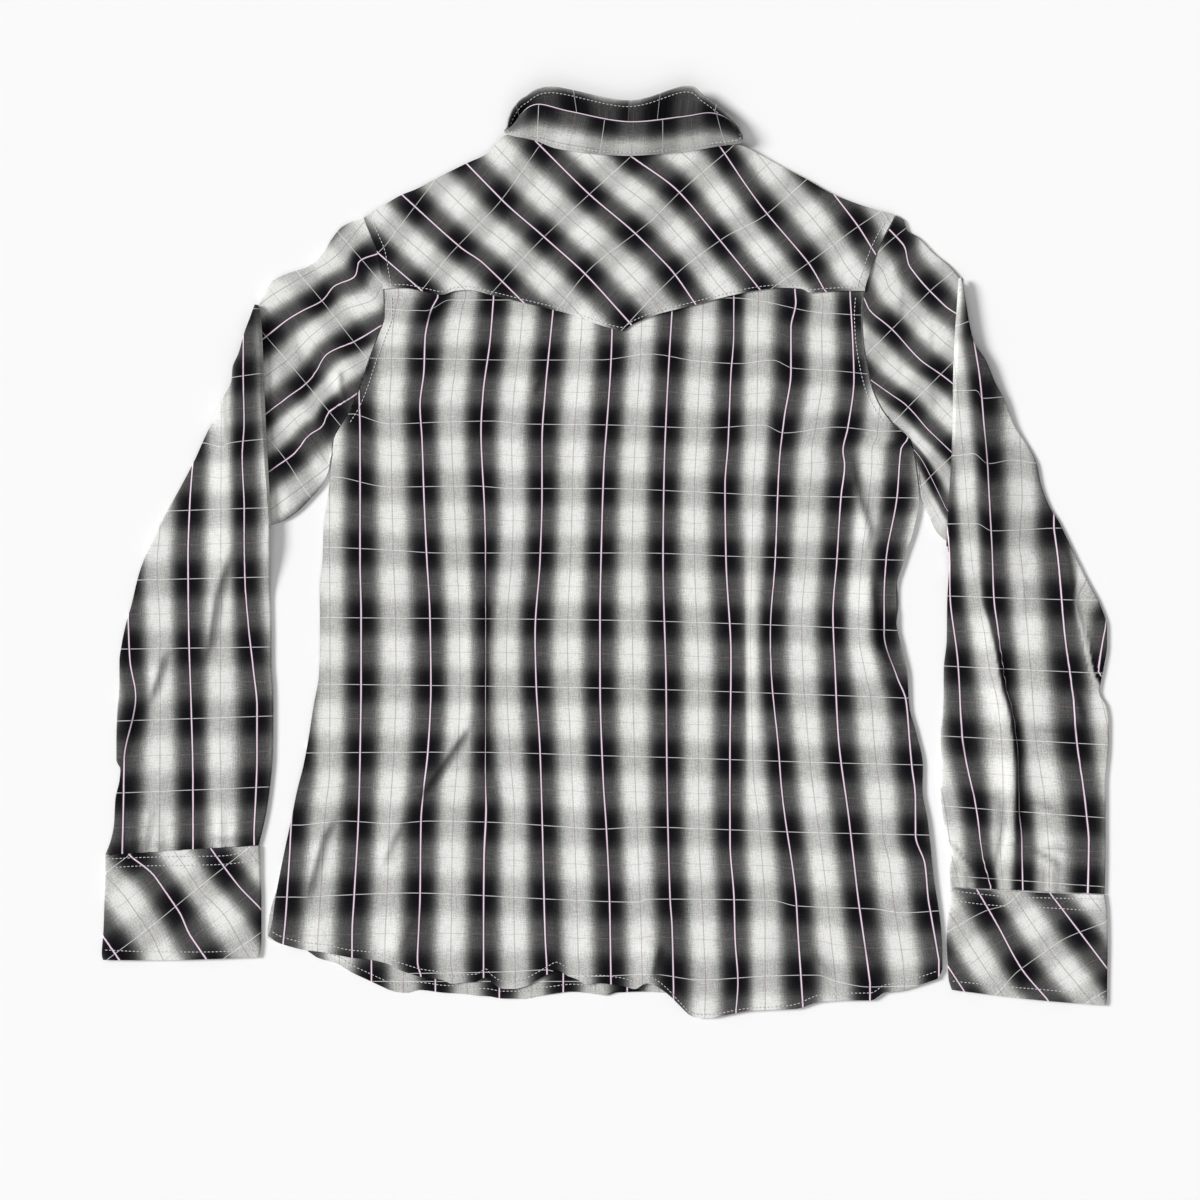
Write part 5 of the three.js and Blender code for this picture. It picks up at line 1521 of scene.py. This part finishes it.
class SHIRT_OT_add_sewing(bpy.types.Operator):
    """Topstitching of the hem, yoke, armholes, cuffs and collar"""

    bl_idname = "shirt.add_sewing"
    bl_label = "Sewing"

    def execute(self, context):
        settings = context.scene.shirt_sewing
        thread = sewing_thread(settings)
        hem_x = np.linspace(272, 938, 240)
        rise = smooth(hem_x, [272, 640, 685, 775, 820, 938], [7.5, 8, 3.5, 3, 7, 8])
        hem_down = table(BACK_HEM, hem_x) - rise
        hem = to_frame(hem_x, hem_down, back_top(hem_x, hem_down) + THREAD_LIFT)
        seam_x = np.linspace(386, 862, 200)
        seam_down = table(YOKE_SEAM, seam_x) - 3.2
        seam = to_frame(seam_x, seam_down, yoke_top(seam_x, seam_down) + THREAD_LIFT)
        armholes = []
        for top, start, end, count in ((yoke_top, 222, 286, 40), (back_top, 297, 422, 64)):
            rows = np.linspace(start, end, count)
            for across in (left_side(rows) + 8, right_side(rows) - 8):
                armholes.append(to_frame(across, rows, top(across, rows) + THREAD_LIFT))
        front_x = np.linspace(300, 655, 130)
        front_down = table(FRONT_HEM, front_x) - 7.5
        front_hem = to_frame(front_x, front_down, WALL + 0.15)
        stitch_row("stitching_body", [hem, seam, *armholes, front_hem], settings, thread)

        def cuff_top(across, down):
            return np.full(np.shape(across), 2 * TUBE_HALF + 0.1)

        left_lines = [
            [(107, 859), (140, 857.5), (180, 856.5), (220, 856), (257, 850)],
            [(107, 868), (140, 866), (180, 865.5), (220, 864.5), (257, 860.5)],
            [(104.5, 950), (150, 951.8), (200, 952), (258, 950)],
        ]
        right_lines = [
            [(953, 891), (980, 894), (1012, 897), (1050, 898), (1103, 899)],
            [(952, 900), (980, 904), (1012, 906.5), (1050, 908), (1105, 911.5)],
            [(952, 981), (1000, 986), (1068, 992), (1104, 997)],
        ]
        stitch_row("stitching_cuffs", [chart_line(line, cuff_top, 80) for line in left_lines + right_lines],
                   settings, thread)
        t = np.linspace(0, 1, 400)
        reach = np.linalg.norm(round_curve(1, t) - round_curve(2, t), axis=-1)
        near_edge = 1 - 4 / reach
        collar_line = leaf_points(t, near_edge)
        normal_t = leaf_points(t + 0.002, near_edge) - collar_line
        normal_s = leaf_points(t, near_edge + 0.04) - collar_line
        out = np.cross(normal_t, normal_s)
        out = out / np.linalg.norm(out, axis=1, keepdims=True)
        lines = [mm_to_frame(collar_line + out * 0.65), mm_to_frame(collar_line - out * 0.65)]
        stitch_row("stitching_collar", lines, settings, thread)
        return {"FINISHED"}


class SHIRT_OT_add_stage(bpy.types.Operator):
    """Pale floor, soft studio light, and the camera that looks straight down"""

    bl_idname = "shirt.add_stage"
    bl_label = "Floor, light and camera"

    def execute(self, context):
        settings = context.scene.shirt_stage
        scene = context.scene
        clear_selection()
        bpy.ops.mesh.primitive_plane_add(size=20, location=(0, 0, -0.0004))
        floor = bpy.context.object
        floor.name = "floor"
        nodes = Nodes("pale_floor")
        spot = nodes.add("ShaderNodeTexCoord")
        cloud = nodes.add("ShaderNodeTexNoise")
        nodes.link(spot.outputs["Object"], cloud.inputs["Vector"])
        cloud.inputs["Scale"].default_value = 2
        shade = nodes.maths("MULTIPLY", cloud.outputs[0], 0.02)
        colour = nodes.blend(shade, tuple(settings.floor), linear(225, 225, 225))
        shader = nodes.add("ShaderNodeBsdfPrincipled")
        nodes.link(colour, shader.inputs["Base Color"])
        shader.inputs["Roughness"].default_value = 0.9
        out = nodes.add("ShaderNodeOutputMaterial")
        nodes.link(shader.outputs[0], out.inputs[0])
        floor.data.materials.append(nodes.material)
        world = bpy.data.worlds.new("studio_room")
        world.use_nodes = True
        room = world.node_tree
        background = room.nodes["Background"]
        background.inputs[0].default_value = (1, 1, 1, 1)
        background.inputs[1].default_value = settings.sky
        backdrop = room.nodes.new("ShaderNodeBackground")
        backdrop.inputs[0].default_value = (0.97, 0.97, 0.97, 1)
        rays = room.nodes.new("ShaderNodeLightPath")
        seen = room.nodes.new("ShaderNodeMixShader")
        room.links.new(rays.outputs["Is Camera Ray"], seen.inputs[0])
        room.links.new(background.outputs[0], seen.inputs[1])
        room.links.new(backdrop.outputs[0], seen.inputs[2])
        room.links.new(seen.outputs[0], room.nodes["World Output"].inputs[0])
        scene.world = world
        for name, tilt, turn, spread, share in (
            ("key_light", 55, -104, 20, 1.0),
            ("fill_light", 40, 0, 50, 0.2),
        ):
            bpy.ops.object.light_add(
                type="SUN", location=(0, 0, 3), rotation=(math.radians(tilt), 0, math.radians(turn))
            )
            light = bpy.context.object
            light.name = name
            light.data.energy = settings.key * share
            light.data.angle = math.radians(spread)
        x = (600 - CHART_MIDDLE[0]) * CHART_STEP + FRAME_SHIFT[0]
        y = (CHART_MIDDLE[1] - 600) * CHART_STEP + FRAME_SHIFT[1]
        bpy.ops.object.camera_add(location=(x, y, settings.height), rotation=(0, 0, 0))
        camera = bpy.context.object
        camera.name = "camera"
        camera.data.lens = 85
        camera.data.sensor_width = 36
        camera.data.clip_start = 0.05
        camera.data.clip_end = 20
        scene.camera = camera
        scene.view_settings.view_transform = "Standard"
        return {"FINISHED"}


STEPS = (
    "shirt.add_fronts",
    "shirt.add_back",
    "shirt.add_yoke",
    "shirt.add_sleeves",
    "shirt.add_cuffs",
    "shirt.add_collar",
    "shirt.add_snaps",
    "shirt.add_sewing",
    "shirt.add_stage",
)


class SHIRT_PT_panel(bpy.types.Panel):
    """Settings and pieces of the shirt"""

    bl_label = "Western shirt"
    bl_idname = "SHIRT_PT_panel"
    bl_space_type = "VIEW_3D"
    bl_region_type = "UI"
    bl_category = "Shirt"

    def draw(self, context):
        scene = context.scene
        groups = (
            ("Cloth", scene.shirt_cloth),
            ("Sewing", scene.shirt_sewing),
            ("Snaps", scene.shirt_snaps),
            ("Stage", scene.shirt_stage),
        )
        for title, group in groups:
            box = self.layout.box()
            box.label(text=title)
            for name in group.__annotations__:
                box.prop(group, name)
        for step in STEPS:
            self.layout.operator(step)


GROUPS = (
    ("shirt_cloth", ShirtClothSettings),
    ("shirt_sewing", ShirtSewingSettings),
    ("shirt_snaps", ShirtSnapSettings),
    ("shirt_stage", ShirtStageSettings),
)
OPERATORS = (
    SHIRT_OT_add_fronts,
    SHIRT_OT_add_back,
    SHIRT_OT_add_yoke,
    SHIRT_OT_add_sleeves,
    SHIRT_OT_add_cuffs,
    SHIRT_OT_add_collar,
    SHIRT_OT_add_snaps,
    SHIRT_OT_add_sewing,
    SHIRT_OT_add_stage,
)


def register():
    for name, group in GROUPS:
        bpy.utils.register_class(group)
        setattr(bpy.types.Scene, name, bpy.props.PointerProperty(type=group))
    for operator in OPERATORS:
        bpy.utils.register_class(operator)
    bpy.utils.register_class(SHIRT_PT_panel)


def unregister():
    bpy.utils.unregister_class(SHIRT_PT_panel)
    for operator in reversed(OPERATORS):
        bpy.utils.unregister_class(operator)
    for name, group in reversed(GROUPS):
        delattr(bpy.types.Scene, name)
        bpy.utils.unregister_class(group)


def main():
    register()
    bpy.ops.shirt.add_fronts()
    bpy.ops.shirt.add_back()
    bpy.ops.shirt.add_yoke()
    bpy.ops.shirt.add_sleeves()
    bpy.ops.shirt.add_cuffs()
    bpy.ops.shirt.add_collar()
    bpy.ops.shirt.add_snaps()
    bpy.ops.shirt.add_sewing()
    bpy.ops.shirt.add_stage()


if __name__ == "__main__":
    main()
